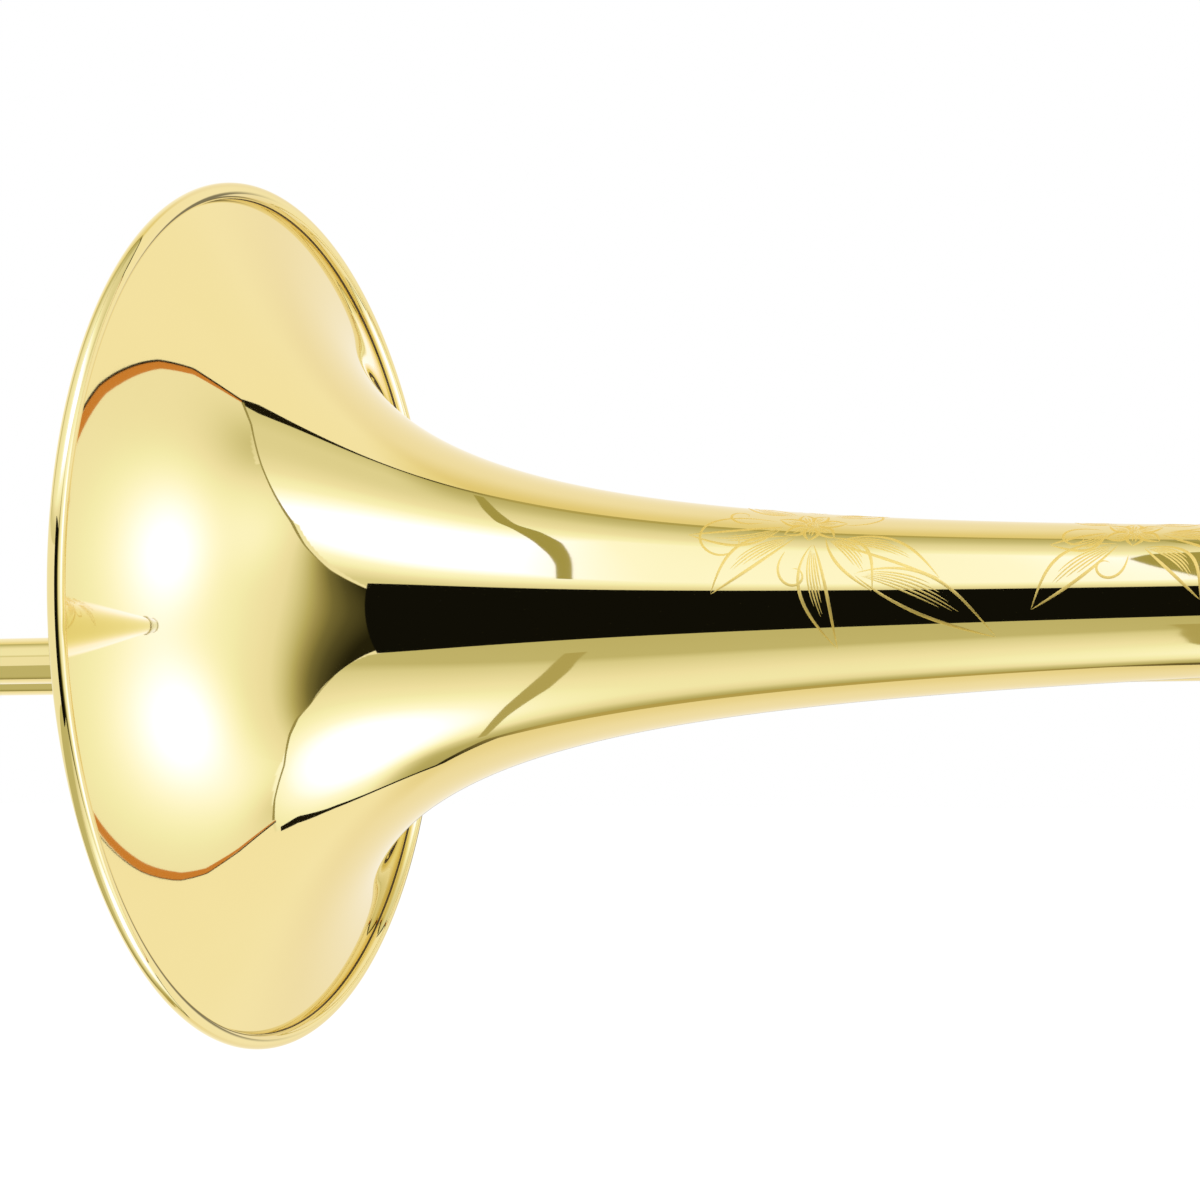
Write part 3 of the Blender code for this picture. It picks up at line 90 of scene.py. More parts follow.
def carried_round(outline, origin=(0, 0, 0), axis=0, columns=96):
    """Grid of points in metres: origin + h along the axis + r (cos t, sin t) across it, for each outline point (h, r)."""
    t = np.linspace(0, 2 * math.pi, columns, endpoint=False)
    grid = np.empty((outline.shape[1], columns, 3))
    grid[..., axis] = outline[0][:, None]
    grid[..., (axis + 1) % 3] = outline[1][:, None] * np.cos(t)
    grid[..., (axis + 2) % 3] = outline[1][:, None] * np.sin(t)
    return (grid + np.array(origin)) * MM


def mesh_piece(name, points, quads, sharp=40.0):
    """A smooth piece from points and faces: equal points made one, stray ones dropped, faces turned outwards."""
    mesh = bpy.data.meshes.new(name)
    mesh.from_pydata(points, [], quads)
    shell = bmesh.new()
    shell.from_mesh(mesh)
    bmesh.ops.remove_doubles(shell, verts=shell.verts, dist=2e-7)
    bmesh.ops.delete(shell, geom=[v for v in shell.verts if not v.link_faces], context="VERTS")
    bmesh.ops.recalc_face_normals(shell, faces=shell.faces)
    shell.to_mesh(mesh)
    shell.free()
    mesh.shade_smooth()
    mesh.set_sharp_from_angle(angle=math.radians(sharp))
    piece = bpy.data.objects.new(name, mesh)
    bpy.context.scene.collection.objects.link(piece)
    return piece


def grid_faces(rows, columns, close_rows, close_columns):
    """One face for each cell of a grid of points, the last row joined to the first and so the columns, where closed."""
    index = np.arange(rows * columns).reshape(rows, columns)
    if close_rows:
        index = np.concatenate([index, index[:1]])
    if close_columns:
        index = np.concatenate([index, index[:, :1]], axis=1)
    return np.stack([index[:-1, :-1], index[:-1, 1:], index[1:, 1:], index[1:, :-1]], axis=-1).reshape(-1, 4)


def skin(name, *grids, close_rows=True, close_columns=True, sharp=40.0):
    """A piece from one or more grids; a grid given as (grid, close_rows) says for itself whether its rows close."""
    points = []
    faces = []
    first = 0
    for item in grids:
        grid, closed = item if isinstance(item, tuple) else (item, close_rows)
        rows, columns = grid.shape[:2]
        points.append(grid.reshape(-1, 3))
        faces.append(grid_faces(rows, columns, closed, close_columns) + first)
        first += rows * columns
    return mesh_piece(name, np.concatenate(points), np.concatenate(faces), sharp)


finishes = {}


def fit(piece, body, slot, *nodes):
    """The piece takes the finish of its slot, rides on its body and stands for the nodes named."""
    piece.data.materials.append(finishes[slot])
    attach(piece, body)
    if nodes:
        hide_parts(*nodes)


# Hand-finished metal, shared by every plated and polished piece: a slow drift of tone, gloss that varies with
# handling, hairlines left round the lathe's axis, and a faint waviness in the surface.
def socket(group, name, kind, value, low=0.0, high=10000.0):
    """An input of a node group with its value and range."""
    item = group.interface.new_socket(name=name, in_out="INPUT", socket_type=kind)
    item.default_value = value
    if kind == "NodeSocketFloat":
        item.min_value = low
        item.max_value = high


hand_finish = bpy.data.node_groups.new("hand_finish", "ShaderNodeTree")
socket(hand_finish, "Colour", "NodeSocketColor", (0.8, 0.8, 0.8, 1))
socket(hand_finish, "Tone", "NodeSocketColor", (0.7, 0.7, 0.7, 1))
socket(hand_finish, "Gloss", "NodeSocketFloat", 0.1)
socket(hand_finish, "Hairlines", "NodeSocketFloat", 0.2)
socket(hand_finish, "Waviness", "NodeSocketFloat", 0.01)
hand_finish.interface.new_socket(name="Colour", in_out="OUTPUT", socket_type="NodeSocketColor")
hand_finish.interface.new_socket(name="Roughness", in_out="OUTPUT", socket_type="NodeSocketFloat")
hand_finish.interface.new_socket(name="Normal", in_out="OUTPUT", socket_type="NodeSocketVector")


def noise_node(tree, vector, scale, detail, stretch=(1, 1, 1)):
    """Noise on the piece's own coordinates, so many grains to the metre, drawn out by the stretch."""
    mapping = tree.nodes.new("ShaderNodeMapping")
    mapping.inputs["Scale"].default_value = stretch
    noise = tree.nodes.new("ShaderNodeTexNoise")
    noise.inputs["Scale"].default_value = scale
    noise.inputs["Detail"].default_value = detail
    tree.links.new(vector, mapping.inputs["Vector"])
    tree.links.new(mapping.outputs["Vector"], noise.inputs["Vector"])
    return noise.outputs["Fac"]


def sum_node(tree, operation, first, second, third=0.0):
    """A math node whose inputs are sockets or plain numbers."""
    node = tree.nodes.new("ShaderNodeMath")
    node.operation = operation
    for place, value in enumerate((first, second, third)):
        if isinstance(value, (int, float)):
            node.inputs[place].default_value = value
        else:
            tree.links.new(value, node.inputs[place])
    return node.outputs["Value"]


def blend_node(tree, share, first, second):
    """A colour between two colours."""
    node = tree.nodes.new("ShaderNodeMix")
    node.data_type = "RGBA"
    for place, value in (("Factor_Float", share), ("A_Color", first), ("B_Color", second)):
        entry = next(s for s in node.inputs if s.identifier == place)
        if isinstance(value, tuple):
            entry.default_value = value
        else:
            tree.links.new(value, entry)
    return next(s for s in node.outputs if s.identifier == "Result_Color")


given = hand_finish.nodes.new("NodeGroupInput").outputs
result = hand_finish.nodes.new("NodeGroupOutput").inputs
place = hand_finish.nodes.new("ShaderNodeTexCoord").outputs["Object"]
drift = noise_node(hand_finish, place, 22.0, 3.0)
handled = noise_node(hand_finish, place, 70.0, 4.0)
hairline = noise_node(hand_finish, place, 900.0, 2.0, (1, 0.03, 0.03))
wave = noise_node(hand_finish, place, 45.0, 1.0)
hand_finish.links.new(blend_node(hand_finish, drift, given["Colour"], given["Tone"]), result["Colour"])
smear = sum_node(hand_finish, "MULTIPLY_ADD", handled, 0.7, 0.65)
scored = sum_node(hand_finish, "MULTIPLY_ADD", hairline, given["Hairlines"], smear)
hand_finish.links.new(sum_node(hand_finish, "MULTIPLY", scored, given["Gloss"]), result["Roughness"])
ripple = hand_finish.nodes.new("ShaderNodeBump")
ripple.inputs["Distance"].default_value = 0.0002
hand_finish.links.new(given["Waviness"], ripple.inputs["Strength"])
hand_finish.links.new(wave, ripple.inputs["Height"])
hand_finish.links.new(ripple.outputs["Normal"], result["Normal"])


def metal(slot, colour, tone, gloss, hairlines=0.2, waviness=0.02, coat=0.0):
    """A slot's metal finish between two colours, with a clear coat where it is lacquered."""
    material = bpy.data.materials.new(f"{slot}_finish")
    finishes[slot] = material
    material.use_nodes = True
    tree = material.node_tree
    shader = tree.nodes["Principled BSDF"]
    shader.inputs["Metallic"].default_value = 1.0
    shader.inputs["Coat Weight"].default_value = coat
    shader.inputs["Coat Roughness"].default_value = 0.03
    hand = tree.nodes.new("ShaderNodeGroup")
    hand.node_tree = hand_finish
    hand.inputs["Colour"].default_value = (*colour, 1)
    hand.inputs["Tone"].default_value = (*tone, 1)
    hand.inputs["Gloss"].default_value = gloss
    hand.inputs["Hairlines"].default_value = hairlines
    hand.inputs["Waviness"].default_value = waviness
    tree.links.new(hand.outputs["Colour"], shader.inputs["Base Color"])
    tree.links.new(hand.outputs["Roughness"], shader.inputs["Roughness"])
    tree.links.new(hand.outputs["Normal"], shader.inputs["Normal"])


metal("lacquered_brass", (0.87, 0.745, 0.37), (0.84, 0.71, 0.32), 0.022, 0.15, 0.02, 0.15)
bell_sheet = skin("bell_sheet", carried_round(bell_outline(), (0, BELL_AXIS_Y, 0), 0, BELL_COLUMNS))
fit(bell_sheet, "bell_section", "lacquered_brass", "bell")
round_wire = BEAD_RADIUS - BELL_WALL - 0.03
slope = -(flare - waist) * FLARE_POWER / FLARE_REACH
normal = np.array([[-slope], [1]]) / math.hypot(1, slope)
bead_centre = np.array([[BELL_RIM_X], [flare]]) + (BEAD_RADIUS - BELL_WALL) * normal
t = np.linspace(0, 2 * math.pi, 20, endpoint=False)
circle = np.stack([np.cos(t), np.sin(t)])
rim_wire = skin("rim_wire_drawn", carried_round(bead_centre + round_wire * circle, (0, BELL_AXIS_Y, 0), 0, BELL_COLUMNS))
fit(rim_wire, "bell_section", "lacquered_brass", "rim_wire")

# Where the rolled edge comes down on the sheet, a thin dark brown line is painted in as the shade in the crease between
# bead and sheet.
LINE_RADIUS = 0.2
metal("crease_shade_brass", (0.16, 0.115, 0.07), (0.1, 0.07, 0.04), 0.5, 0.3, 0.3)
meeting = math.atan2(-normal[1, 0], -normal[0, 0]) + math.acos((BEAD_RADIUS - BELL_WALL) / BEAD_RADIUS) + 0.05
corner = bead_centre + 1.05 * BEAD_RADIUS * np.array([[math.cos(meeting)], [math.sin(meeting)]])
bead_crease_shade = skin("bell_bead_crease_shade", carried_round(corner + LINE_RADIUS * circle, (0, BELL_AXIS_Y, 0), 0, BELL_COLUMNS))
bead_crease_shade.data.materials.append(finishes["crease_shade_brass"])
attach(bead_crease_shade, "bell_section")

# Engraving: two sprays of flowers cut by hand into the stem's lacquered sheet, on the side that faces the player's
# left. Each cut is thin, bright and dull at once, so it shows as matt gold on the mirror of the stem. The drawing is
# laid out flat, x along the stem and y round it, in mm from the middle of each blossom.
CUT_WIDTH = 0.95
HATCH_WIDTH = 0.5
CUT_HEIGHT = 0.06
CUT_POINTS = 36
along = np.linspace(0, 1, CUT_POINTS)


def bowed(start, end, bow):
    """Points p = start + (end - start) t + bow sin(pi t) across the chord, for each bow given."""
    start = np.array(start, float)
    chord = np.array(end, float) - start
    across = np.array([-chord[1], chord[0]]) / np.hypot(*chord)
    lift = np.atleast_1d(bow)[:, None, None] * np.sin(math.pi * along**0.85)[:, None]
    return start + chord * along[:, None] + lift * across


def part_of(strokes, first, last):
    """The stretch of each stroke from its share first to its share last."""
    picked = np.array(first)[:, None] + (np.array(last) - np.array(first))[:, None] * along
    low = np.clip((picked * (CUT_POINTS - 1)).astype(int), 0, CUT_POINTS - 2)
    blend = (picked * (CUT_POINTS - 1) - low)[..., None]
    row = np.arange(len(strokes))[:, None]
    return strokes[row, low] * (1 - blend) + strokes[row, low + 1] * blend


def leaf(start, end, curve, belly):
    """A pointed leaf: two edges bowed about a curved rib, with hatching that runs out from its foot on one side."""
    edges = bowed(start, end, (curve - belly, curve + belly))
    rank = np.linspace(0, 1, 2 + int(belly / 0.9))
    inner = bowed(start, end, curve + belly * (0.9 * rank - 0.25))
    return [(edges, CUT_WIDTH), (part_of(inner, 0.05 + 0.05 * rank, 0.74 - 0.4 * np.abs(rank - 0.35)), HATCH_WIDTH)]


def tendril(start, heading_at, length, curl):
    """A runner that sets off at an angle in degrees and winds up, its turn growing with the square of the way gone."""
    turn = math.radians(heading_at) + math.radians(curl) * along**2
    step = np.stack([np.cos(turn), np.sin(turn)], axis=-1) * length / CUT_POINTS
    return [((np.array(start) + np.cumsum(step, axis=0))[None], 0.85 * CUT_WIDTH)]


def blossom(petals, reach, belly, tilt):
    """A flower: a ring of hatched petals round a small eye."""
    strokes = []
    for angle in tilt + 2 * math.pi * np.arange(petals) / petals:
        ray = np.array([math.cos(angle), math.sin(angle)])
        long = reach * (1 + 0.16 * math.cos(2 * angle))
        strokes += leaf(1.1 * ray, long * ray, 0.25, belly)
    turn = 2 * math.pi * along
    eye = np.stack([np.cos(turn), np.sin(turn)], axis=-1)
    return strokes + [(np.stack([0.9 * eye, 0.45 * eye]), HATCH_WIDTH)]


def cut_strokes(strokes, station, angle):
    """Each stroke as a slim three-sided ridge, pointed at both ends, wrapped round the stem at the station and angle."""
    path = np.concatenate([paths for paths, width in strokes])
    width = np.concatenate([np.full(len(paths), width) for paths, width in strokes])[:, None, None]
    tangent = np.gradient(path, axis=1)
    tangent /= np.linalg.norm(tangent, axis=-1, keepdims=True) + 1e-9
    swell = (np.sin(math.pi * along) ** 0.6)[:, None] * width / 2
    side = np.stack([-tangent[..., 1], tangent[..., 0]], axis=-1) * swell
    flat = np.stack([path - side, path, path + side], axis=2)
    height = np.array([-0.3, 1.0, -0.3]) * CUT_HEIGHT * (swell / swell.max())
    s = station + flat[..., 0]
    radius = bell_radius(s)
    turn = math.radians(angle) + flat[..., 1] / radius
    radius = radius + height
    return np.stack([BELL_RIM_X + s, BELL_AXIS_Y - radius * np.cos(turn), radius * np.sin(turn)], axis=-1) * MM


first_spray = blossom(7, 6.6, 1.5, 0.2)
first_spray += leaf((3.5, -4.5), (14, -17), 1.5, 3.6)
first_spray += leaf((10, -13.5), (39.5, -25.5), 2.2, 4.2)
first_spray += leaf((5, -6), (28, -13.5), 3.0, 2.8)
first_spray += leaf((1, -6.5), (6.5, -30), -2.0, 2.8)
first_spray += leaf((-3, -5), (-20, -20.5), -2.4, 3.0)
first_spray += leaf((-6, -1.5), (-26, -6.5), 2.2, 2.3)
first_spray += leaf((-4, 5), (-17, 15), 2.2, 2.6)
first_spray += leaf((4, 5.5), (16, 17), -2.4, 2.8)
first_spray += leaf((0.5, 7), (2.5, 24), 2.0, 2.4)
first_spray += tendril((-6.5, 0.5), 170, 38, 330)
first_spray += tendril((-10, 0), 200, 16, -300)
first_spray += tendril((6.5, 0.5), 8, 20, 300)
first_spray += tendril((-4.5, -8.5), -115, 17, 310)
first_spray += tendril((3, 9), 60, 26, -330)
first_spray += tendril((-3, 8.5), 120, 24, 320)
second_spray = blossom(6, 5.8, 1.5, 0.45)
second_spray += leaf((-3, -4.5), (-20.5, -20), -2.0, 3.2)
second_spray += leaf((2, -5.5), (13, -17), 2.6, 2.8)
second_spray += leaf((-5.5, -0.5), (-17, -5), 1.8, 2.2)
second_spray += leaf((5.5, -1), (20, -7.5), 2.0, 2.4)
second_spray += leaf((4, 4.5), (15, 12), -2.0, 2.4)
second_spray += leaf((-3.5, 4.5), (-13, 13), 2.0, 2.4)
second_spray += tendril((-5.8, 0.6), 165, 18, 310)
second_spray += tendril((6, 0.5), 5, 26, 320)
second_spray += tendril((-1, -7), -100, 15, -300)
metal("engraved_brass", (0.96, 0.74, 0.22), (0.82, 0.58, 0.12), 0.4, 0.3, 0.3)
sprays = np.concatenate([cut_strokes(first_spray, 132, 55), cut_strokes(second_spray, 199, 57)])
bell_engraving = skin("bell_engraving", *sprays, close_rows=False)
bell_engraving.data.materials.append(finishes["engraved_brass"])
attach(bell_engraving, "bell_section")


# Fittings at the bell's tail, in nickel silver: a ferrule soldered over the joint between the bell and the wide
# outer sleeve of the tuning slide. The sleeve is a drawn tube with rings turned on its open end.
metal("nickel_silver", (0.79, 0.755, 0.69), (0.75, 0.71, 0.64), 0.09)
BELL_TAIL_X = 160.0
SLEEVE_END_X = 258.0
SLEEVE_WALL = 0.5
WIDE_SLEEVE_RADIUS = 10.9
WIDE_LEG_RADIUS = 10.2
SEAT = 0.03


def rounded(corners):
    """Outline through corners (h, r, fillet), each corner p giving way to p + back (1 - u)^2 + ahead u^2.

    back and ahead run along the two sides for the length of the fillet, at most half a side, and one more point
    beyond each end keeps the flats flat.
    """
    corner = np.array(corners, float)
    middle = corner[:, :2]
    u = np.linspace(0, 1, 6)
    sides = []
    for other, share in ((np.roll(middle, 1, axis=0), (1 - u) ** 2), (np.roll(middle, -1, axis=0), u**2)):
        length = np.linalg.norm(other - middle, axis=1)
        towards = (other - middle) / length[:, None]
        reach = np.minimum(corner[:, 2], length / 2)
        beyond = towards * np.minimum(1.6 * reach, length / 2)[:, None]
        sides.append((towards[:, None] * (reach[:, None] * share)[..., None], beyond))
    (back, before), (ahead, after) = sides
    curve = middle[:, None] + back + ahead
    points = np.concatenate([(middle + before)[:, None], curve, (middle + after)[:, None]], axis=1).reshape(-1, 2)
    apart = np.linalg.norm(points - np.roll(points, 1, axis=0), axis=1)
    return points[apart > 1e-3].T


def turned(node, body, slot, corners, axis_y=0.0, columns=96):
    """A piece turned on a lathe about the line y = axis_y, z = 0, from the corners (x, r, fillet) of its outline."""
    grid = carried_round(rounded(corners), (0, axis_y, 0), 0, columns)
    piece = skin(f"{node}_turned", grid, close_rows=corners[0][1] > 0)
    fit(piece, body, slot, node)


def ferrule_corners(x0, x1, bore0, bore1, body):
    """A ferrule from x0 to x1: at each end a thin lip, a ring and a quirk, and two fine lines round its middle."""
    end = np.array(((0, 0, 0), (0, 0.3, 0.1), (0.9, 0.42, 0.3)))
    ring = np.array(((1.35, 0, 0.3), (2.3, 0, 0.35), (2.6, -0.3, 0.1), (2.9, -0.3, 0.1), (3.2, -0.06, 0.2)))
    line = np.array(((-0.28, -0.06, 0.06), (-0.12, -0.22, 0.06), (0.12, -0.22, 0.06), (0.28, -0.06, 0.06)))
    middle = (x0 + x1) / 2
    front = np.concatenate([end + (x0, bore0, 0), ring + (x0, body, 0)])
    back = np.concatenate([end * (-1, 1, 1) + (x1, bore1, 0), ring * (-1, 1, 1) + (x1, body, 0)])[::-1]
    lines = [line + (middle + step, body, 0) for step in (-0.75, 0.75)]
    return [tuple(c) for c in np.concatenate([front, *lines, back])]


def sleeve_corners(x0, radius):
    """An outer sleeve from x0 to the common end: a plain tube with a fine ring and a broad ring at its mouth."""
    end = SLEEVE_END_X
    return [
        (x0, radius - SLEEVE_WALL, 0),
        (x0, radius, 0),
        (end - 5.3, radius, 0.2),
        (end - 4.9, radius + 0.6, 0.25),
        (end - 3.9, radius + 0.6, 0.2),
        (end - 3.6, radius + 0.3, 0.1),
        (end - 3.3, radius + 0.3, 0.1),
        (end - 3.0, radius + 0.9, 0.3),
        (end - 0.6, radius + 0.9, 0.5),
        (end, radius + 0.4, 0.3),
        (end, radius - SLEEVE_WALL, 0.15),
    ]


front_bore = float(bell_radius(BELL_LENGTH - 12.0)) + SEAT
tail = ferrule_corners(BELL_TAIL_X - 12.0, BELL_TAIL_X + 12.0, front_bore, WIDE_SLEEVE_RADIUS + SEAT, 12.5)
turned("bell_ferrule", "bell_section", "nickel_silver", tail, BELL_AXIS_Y)
wide_sleeve = sleeve_corners(BELL_TAIL_X + 0.1, WIDE_SLEEVE_RADIUS)
turned("bell_tuning_sleeve", "bell_section", "nickel_silver", wide_sleeve, BELL_AXIS_Y)

# Neckpipe, in brass, between its threaded receiver and the narrow outer sleeve of the tuning slide. The receiver
# is turned nickel silver: a socket for the slide's tenon, a thread outside for the nut, and a collar behind it.
NARROW_SLEEVE_RADIUS = 8.3
NARROW_LEG_RADIUS = 7.6
NECK_JOINT_X = 128.0
NECKPIPE_FRONT_X = 22.3
NECKPIPE_RADII = (7.4, 7.7)
NECKPIPE_WALL = 0.45
RECEIVER_RADIUS = 10.2
RECEIVER_BORE = 8.3
THREAD_PITCH = 0.9
THREAD_DEPTH = 0.45
TENON_RADIUS = 8.0
neckpipe = [
    (NECKPIPE_FRONT_X, NECKPIPE_RADII[0] - NECKPIPE_WALL, 0),
    (NECKPIPE_FRONT_X, NECKPIPE_RADII[0], 0),
    (NECK_JOINT_X, NECKPIPE_RADII[1], 0),
    (NECK_JOINT_X, NECKPIPE_RADII[1] - NECKPIPE_WALL, 0),
]
turned("neckpipe", "bell_section", "lacquered_brass", neckpipe)
turned("neck_tuning_sleeve", "bell_section", "nickel_silver", sleeve_corners(NECK_JOINT_X + 0.1, NARROW_SLEEVE_RADIUS))
neck_ferrule = [
    (118.0, 7.7, 0),
    (118.0, 8.05, 0.1),
    (119.2, 8.2, 0.5),
    (121.0, 9.3, 0.7),
    (121.6, 9.7, 0.3),
    (122.6, 9.7, 0.3),
    (122.9, 9.4, 0.1),
    (123.2, 9.4, 0.1),
    (123.5, 9.6, 0.2),
    (134.6, 9.6, 0.2),
    (134.9, 9.4, 0.1),
    (135.2, 9.4, 0.1),
    (135.5, 9.7, 0.3),
    (137.0, 9.7, 0.6),
    (138.8, 8.8, 0.5),
    (140.0, 8.65, 0.1),
    (140.0, 8.33, 0),
    (128.05, 8.33, 0),
    (128.05, 7.73, 0),
]
turned("neck_ferrule", "bell_section", "nickel_silver", neck_ferrule)
thread_x = 1.6 + THREAD_PITCH * np.arange(11)
crests = [(x, RECEIVER_RADIUS, 0.1) for x in thread_x]
roots = [(x + THREAD_PITCH / 2, RECEIVER_RADIUS - THREAD_DEPTH, 0.1) for x in thread_x[:-1]]
thread = [corner for pair in zip(crests, roots) for corner in pair] + crests[-1:]
receiver = [
    (0, RECEIVER_BORE, 0.3),
    (0, RECEIVER_RADIUS - 0.7, 0.3),
    (0.7, RECEIVER_RADIUS - THREAD_DEPTH, 0.1),
    (1.2, RECEIVER_RADIUS - THREAD_DEPTH, 0.1),
    *thread,
    (11.0, RECEIVER_RADIUS - 0.6, 0.1),
    (11.9, RECEIVER_RADIUS - 0.6, 0.1),
    (12.1, 11.0, 0.3),
    (13.4, 11.1, 0.15),
    (13.6, 10.85, 0.08),
    (14.2, 10.85, 0.08),
    (14.4, 11.1, 0.15),
    (15.7, 11.0, 0.3),
    (16.0, 9.9, 0.3),
    (18.5, 9.5, 1.2),
    (30.5, 8.9, 1.5),
    (31.5, 9.1, 0.3),
    (32.5, 9.1, 0.3),
    (33.0, 8.2, 0.3),
    (34.0, 8.0, 0.2),
    (34.0, NECKPIPE_RADII[0] + 0.07, 0),
    (22.0, NECKPIPE_RADII[0] + SEAT, 0),
    (22.0, RECEIVER_BORE, 0.1),
]
turned("neckpipe_receiver", "bell_section", "nickel_silver", receiver)

# Braces of the bell section, in brass. Each flange is pressed to sit on its tube, rises into a round boss with a
# bead, and holds the end of a turned rod that swells in the middle. All joints are soft soldered.
FLANGE_HEIGHT = 9.0
FLANGE_FLOOR = 4.0
BOSS_RADIUS = 5.2
ROD_RADIUS = 4.0
FOOT_EDGE = 0.5
FOOT_RISE = 2.9
FOOT_UP_THE_TUBE = 1.15
boss_corners = [
    (FOOT_EDGE + FOOT_RISE, BOSS_RADIUS, 0),
    (6.5, BOSS_RADIUS, 0.2),
    (6.8, BOSS_RADIUS + 0.35, 0.25),
    (7.6, BOSS_RADIUS + 0.35, 0.25),
    (7.9, BOSS_RADIUS - 0.05, 0.15),
    (FLANGE_HEIGHT, BOSS_RADIUS - 0.05, 0.3),
    (FLANGE_HEIGHT, ROD_RADIUS + SEAT, 0.15),
    (FLANGE_FLOOR, ROD_RADIUS + SEAT, 0.1),
    (FLANGE_FLOOR, 0, 0),
]


def flange_grid(x, axis_y, side, radius_at, along):
    """A brace flange on the tube that runs along X, standing out to the side +Y or -Y.

    The point (q, h) of its profile at the angle t lies q cos t along the tube and q sin t round it, at the height h.
    Wrapped 1 carries it round the tube, wrapped 0 straight out, and the share falls as cos^2 while the foot sweeps up.
    """
    radius = float(radius_at(x))
    around = min(FOOT_UP_THE_TUBE * radius, 10.5)
    share = np.linspace(0, 1, 8)
    sweep = np.linspace(0, math.pi / 2, 14)
    boss_height, boss_radius = rounded(boss_corners)
    edge = np.array((0, 0.03, 0.15, 0.3))
    lift = np.array((0.15, 0.35, 0.47, FOOT_EDGE))
    foot = []
    for half in (along, around):
        neck = BOSS_RADIUS + (half - 0.3 - BOSS_RADIUS) * (1 - np.sin(sweep))
        foot.append(np.concatenate([half * share, half - edge, neck, boss_radius]))
    height = np.concatenate([0 * share, lift, FOOT_EDGE + FOOT_RISE * (1 - np.cos(sweep)), boss_height])[:, None]
    wrapped = np.concatenate([share * 0 + 1, lift * 0 + 1, np.cos(sweep) ** 2, boss_height * 0])[:, None, None]
    t = np.linspace(0, 2 * math.pi, 72, endpoint=False)
    run = x + foot[0][:, None] * np.cos(t)
    girth = foot[1][:, None] * np.sin(t)
    tube = radius_at(run) + 0.02
    turn = girth / tube
    bent = np.stack([run, axis_y + side * (tube + height) * np.cos(turn), (tube + height) * np.sin(turn)], axis=-1)
    straight = np.stack([run, axis_y + side * (radius + height) + 0 * run, girth], axis=-1)
    return (wrapped * bent + (1 - wrapped) * straight) * MM


def brace(name, body, x, ends, along):
    """A rod and two flanges between two tubes: an end is the flange's suffix, its tube's axis and its radius."""
    for (suffix, axis_y, radius_at), side in zip(ends, (1, -1)):
        grid = flange_grid(x, axis_y, side, radius_at, along)
        fit(skin(f"{name}_foot_{suffix}", grid, close_rows=False), body, "lacquered_brass", f"{name}_flange_{suffix}")
    y0 = ends[0][1] + float(ends[0][2](x)) + FLANGE_FLOOR + 0.1
    y1 = ends[1][1] - float(ends[1][2](x)) - FLANGE_FLOOR - 0.1
    half = (y1 - y0) / 2
    side = [(-half, 0, 0), (-half, ROD_RADIUS, 0.2), (-6.4, ROD_RADIUS, 0.5), (-5.2, 4.35, 0.5), (-4.6, 4.35, 0.2)]
    side += [(-4.3, 4.1, 0.12), (-3.9, 4.1, 0.12), (-3.3, 4.8, 0.9)]
    rod = rounded(side + [(-h, r, f) for h, r, f in side[::-1]])
    rod[0] += (y0 + y1) / 2
    piece = skin(f"{name}_bar", carried_round(rod, (x, 0, 0), 1, 64), close_rows=False)
    fit(piece, body, "lacquered_brass", f"{name}_rod")


def even(radius):
    """The radius of a tube that is the same all along."""
    return lambda x: radius + 0 * x


stem_end = ("bell", BELL_AXIS_Y, lambda x: bell_radius(x - BELL_RIM_X))
brace("front_brace", "bell_section", 52.0, (stem_end, ("neck", 0.0, even(7.49))), 8.4)
sleeve_ends = (("bell", BELL_AXIS_Y, even(WIDE_SLEEVE_RADIUS)), ("neck", 0.0, even(NARROW_SLEEVE_RADIUS)))
brace("rear_brace", "bell_section", 196.0, sleeve_ends, 8.8)

# Main tuning slide: two drawn nickel silver legs that run in the outer sleeves, a brass bow that widens from one
# leg to the other, a ferrule over each joint, and a brace from ferrule to ferrule to pull it by.
LEG_TIP_X = 166.0
LEG_WALL = 0.4
BOW_FERRULE_X = (259.3, 271.7)
BOW_JOINT_X = 263.2
TUNING_BEND_X = 272.0
BOW_FERRULE_WALL = 1.5


def bent_tube(start_x, bend_x, spacing, radii, wall):
    """A U-shaped tube: a circle carried along a straight run, a half circle and the run back, widening evenly.

    The path's point is (bend_x + R sin a, s/2 - (s/2) cos a) for the angle a from 0 to pi, s the spacing.
    """
    away = math.copysign(1.0, bend_x - start_x)
    turn = np.linspace(0, math.pi, 97)
    bend = abs(spacing) / 2
    arc = np.stack([bend_x + away * bend * np.sin(turn), spacing / 2 * (1 - np.cos(turn)), 0 * turn], axis=-1)
    ends = np.array([[[start_x, 0, 0]], [[start_x, spacing, 0]]], float)
    path = np.concatenate([ends[0], arc, ends[1]])
    across = np.stack([away * np.sin(turn), -math.copysign(1.0, spacing) * np.cos(turn), 0 * turn], axis=-1)
    across = np.concatenate([across[:1], across, across[-1:]])
    radius = np.interp(np.arange(len(path)), (1, len(path) - 2), radii)[:, None]
    t = np.linspace(0, 2 * math.pi, 80, endpoint=False)
    up = np.array((0, 0, 1))
    walls = []
    for skin_radius in (radius, radius - wall):
        ring = across[:, None] * np.cos(t)[:, None] + up * np.sin(t)[:, None]
        walls.append(path[:, None] + skin_radius[..., None] * ring)
    return np.concatenate([walls[0], walls[1][::-1]]) * MM


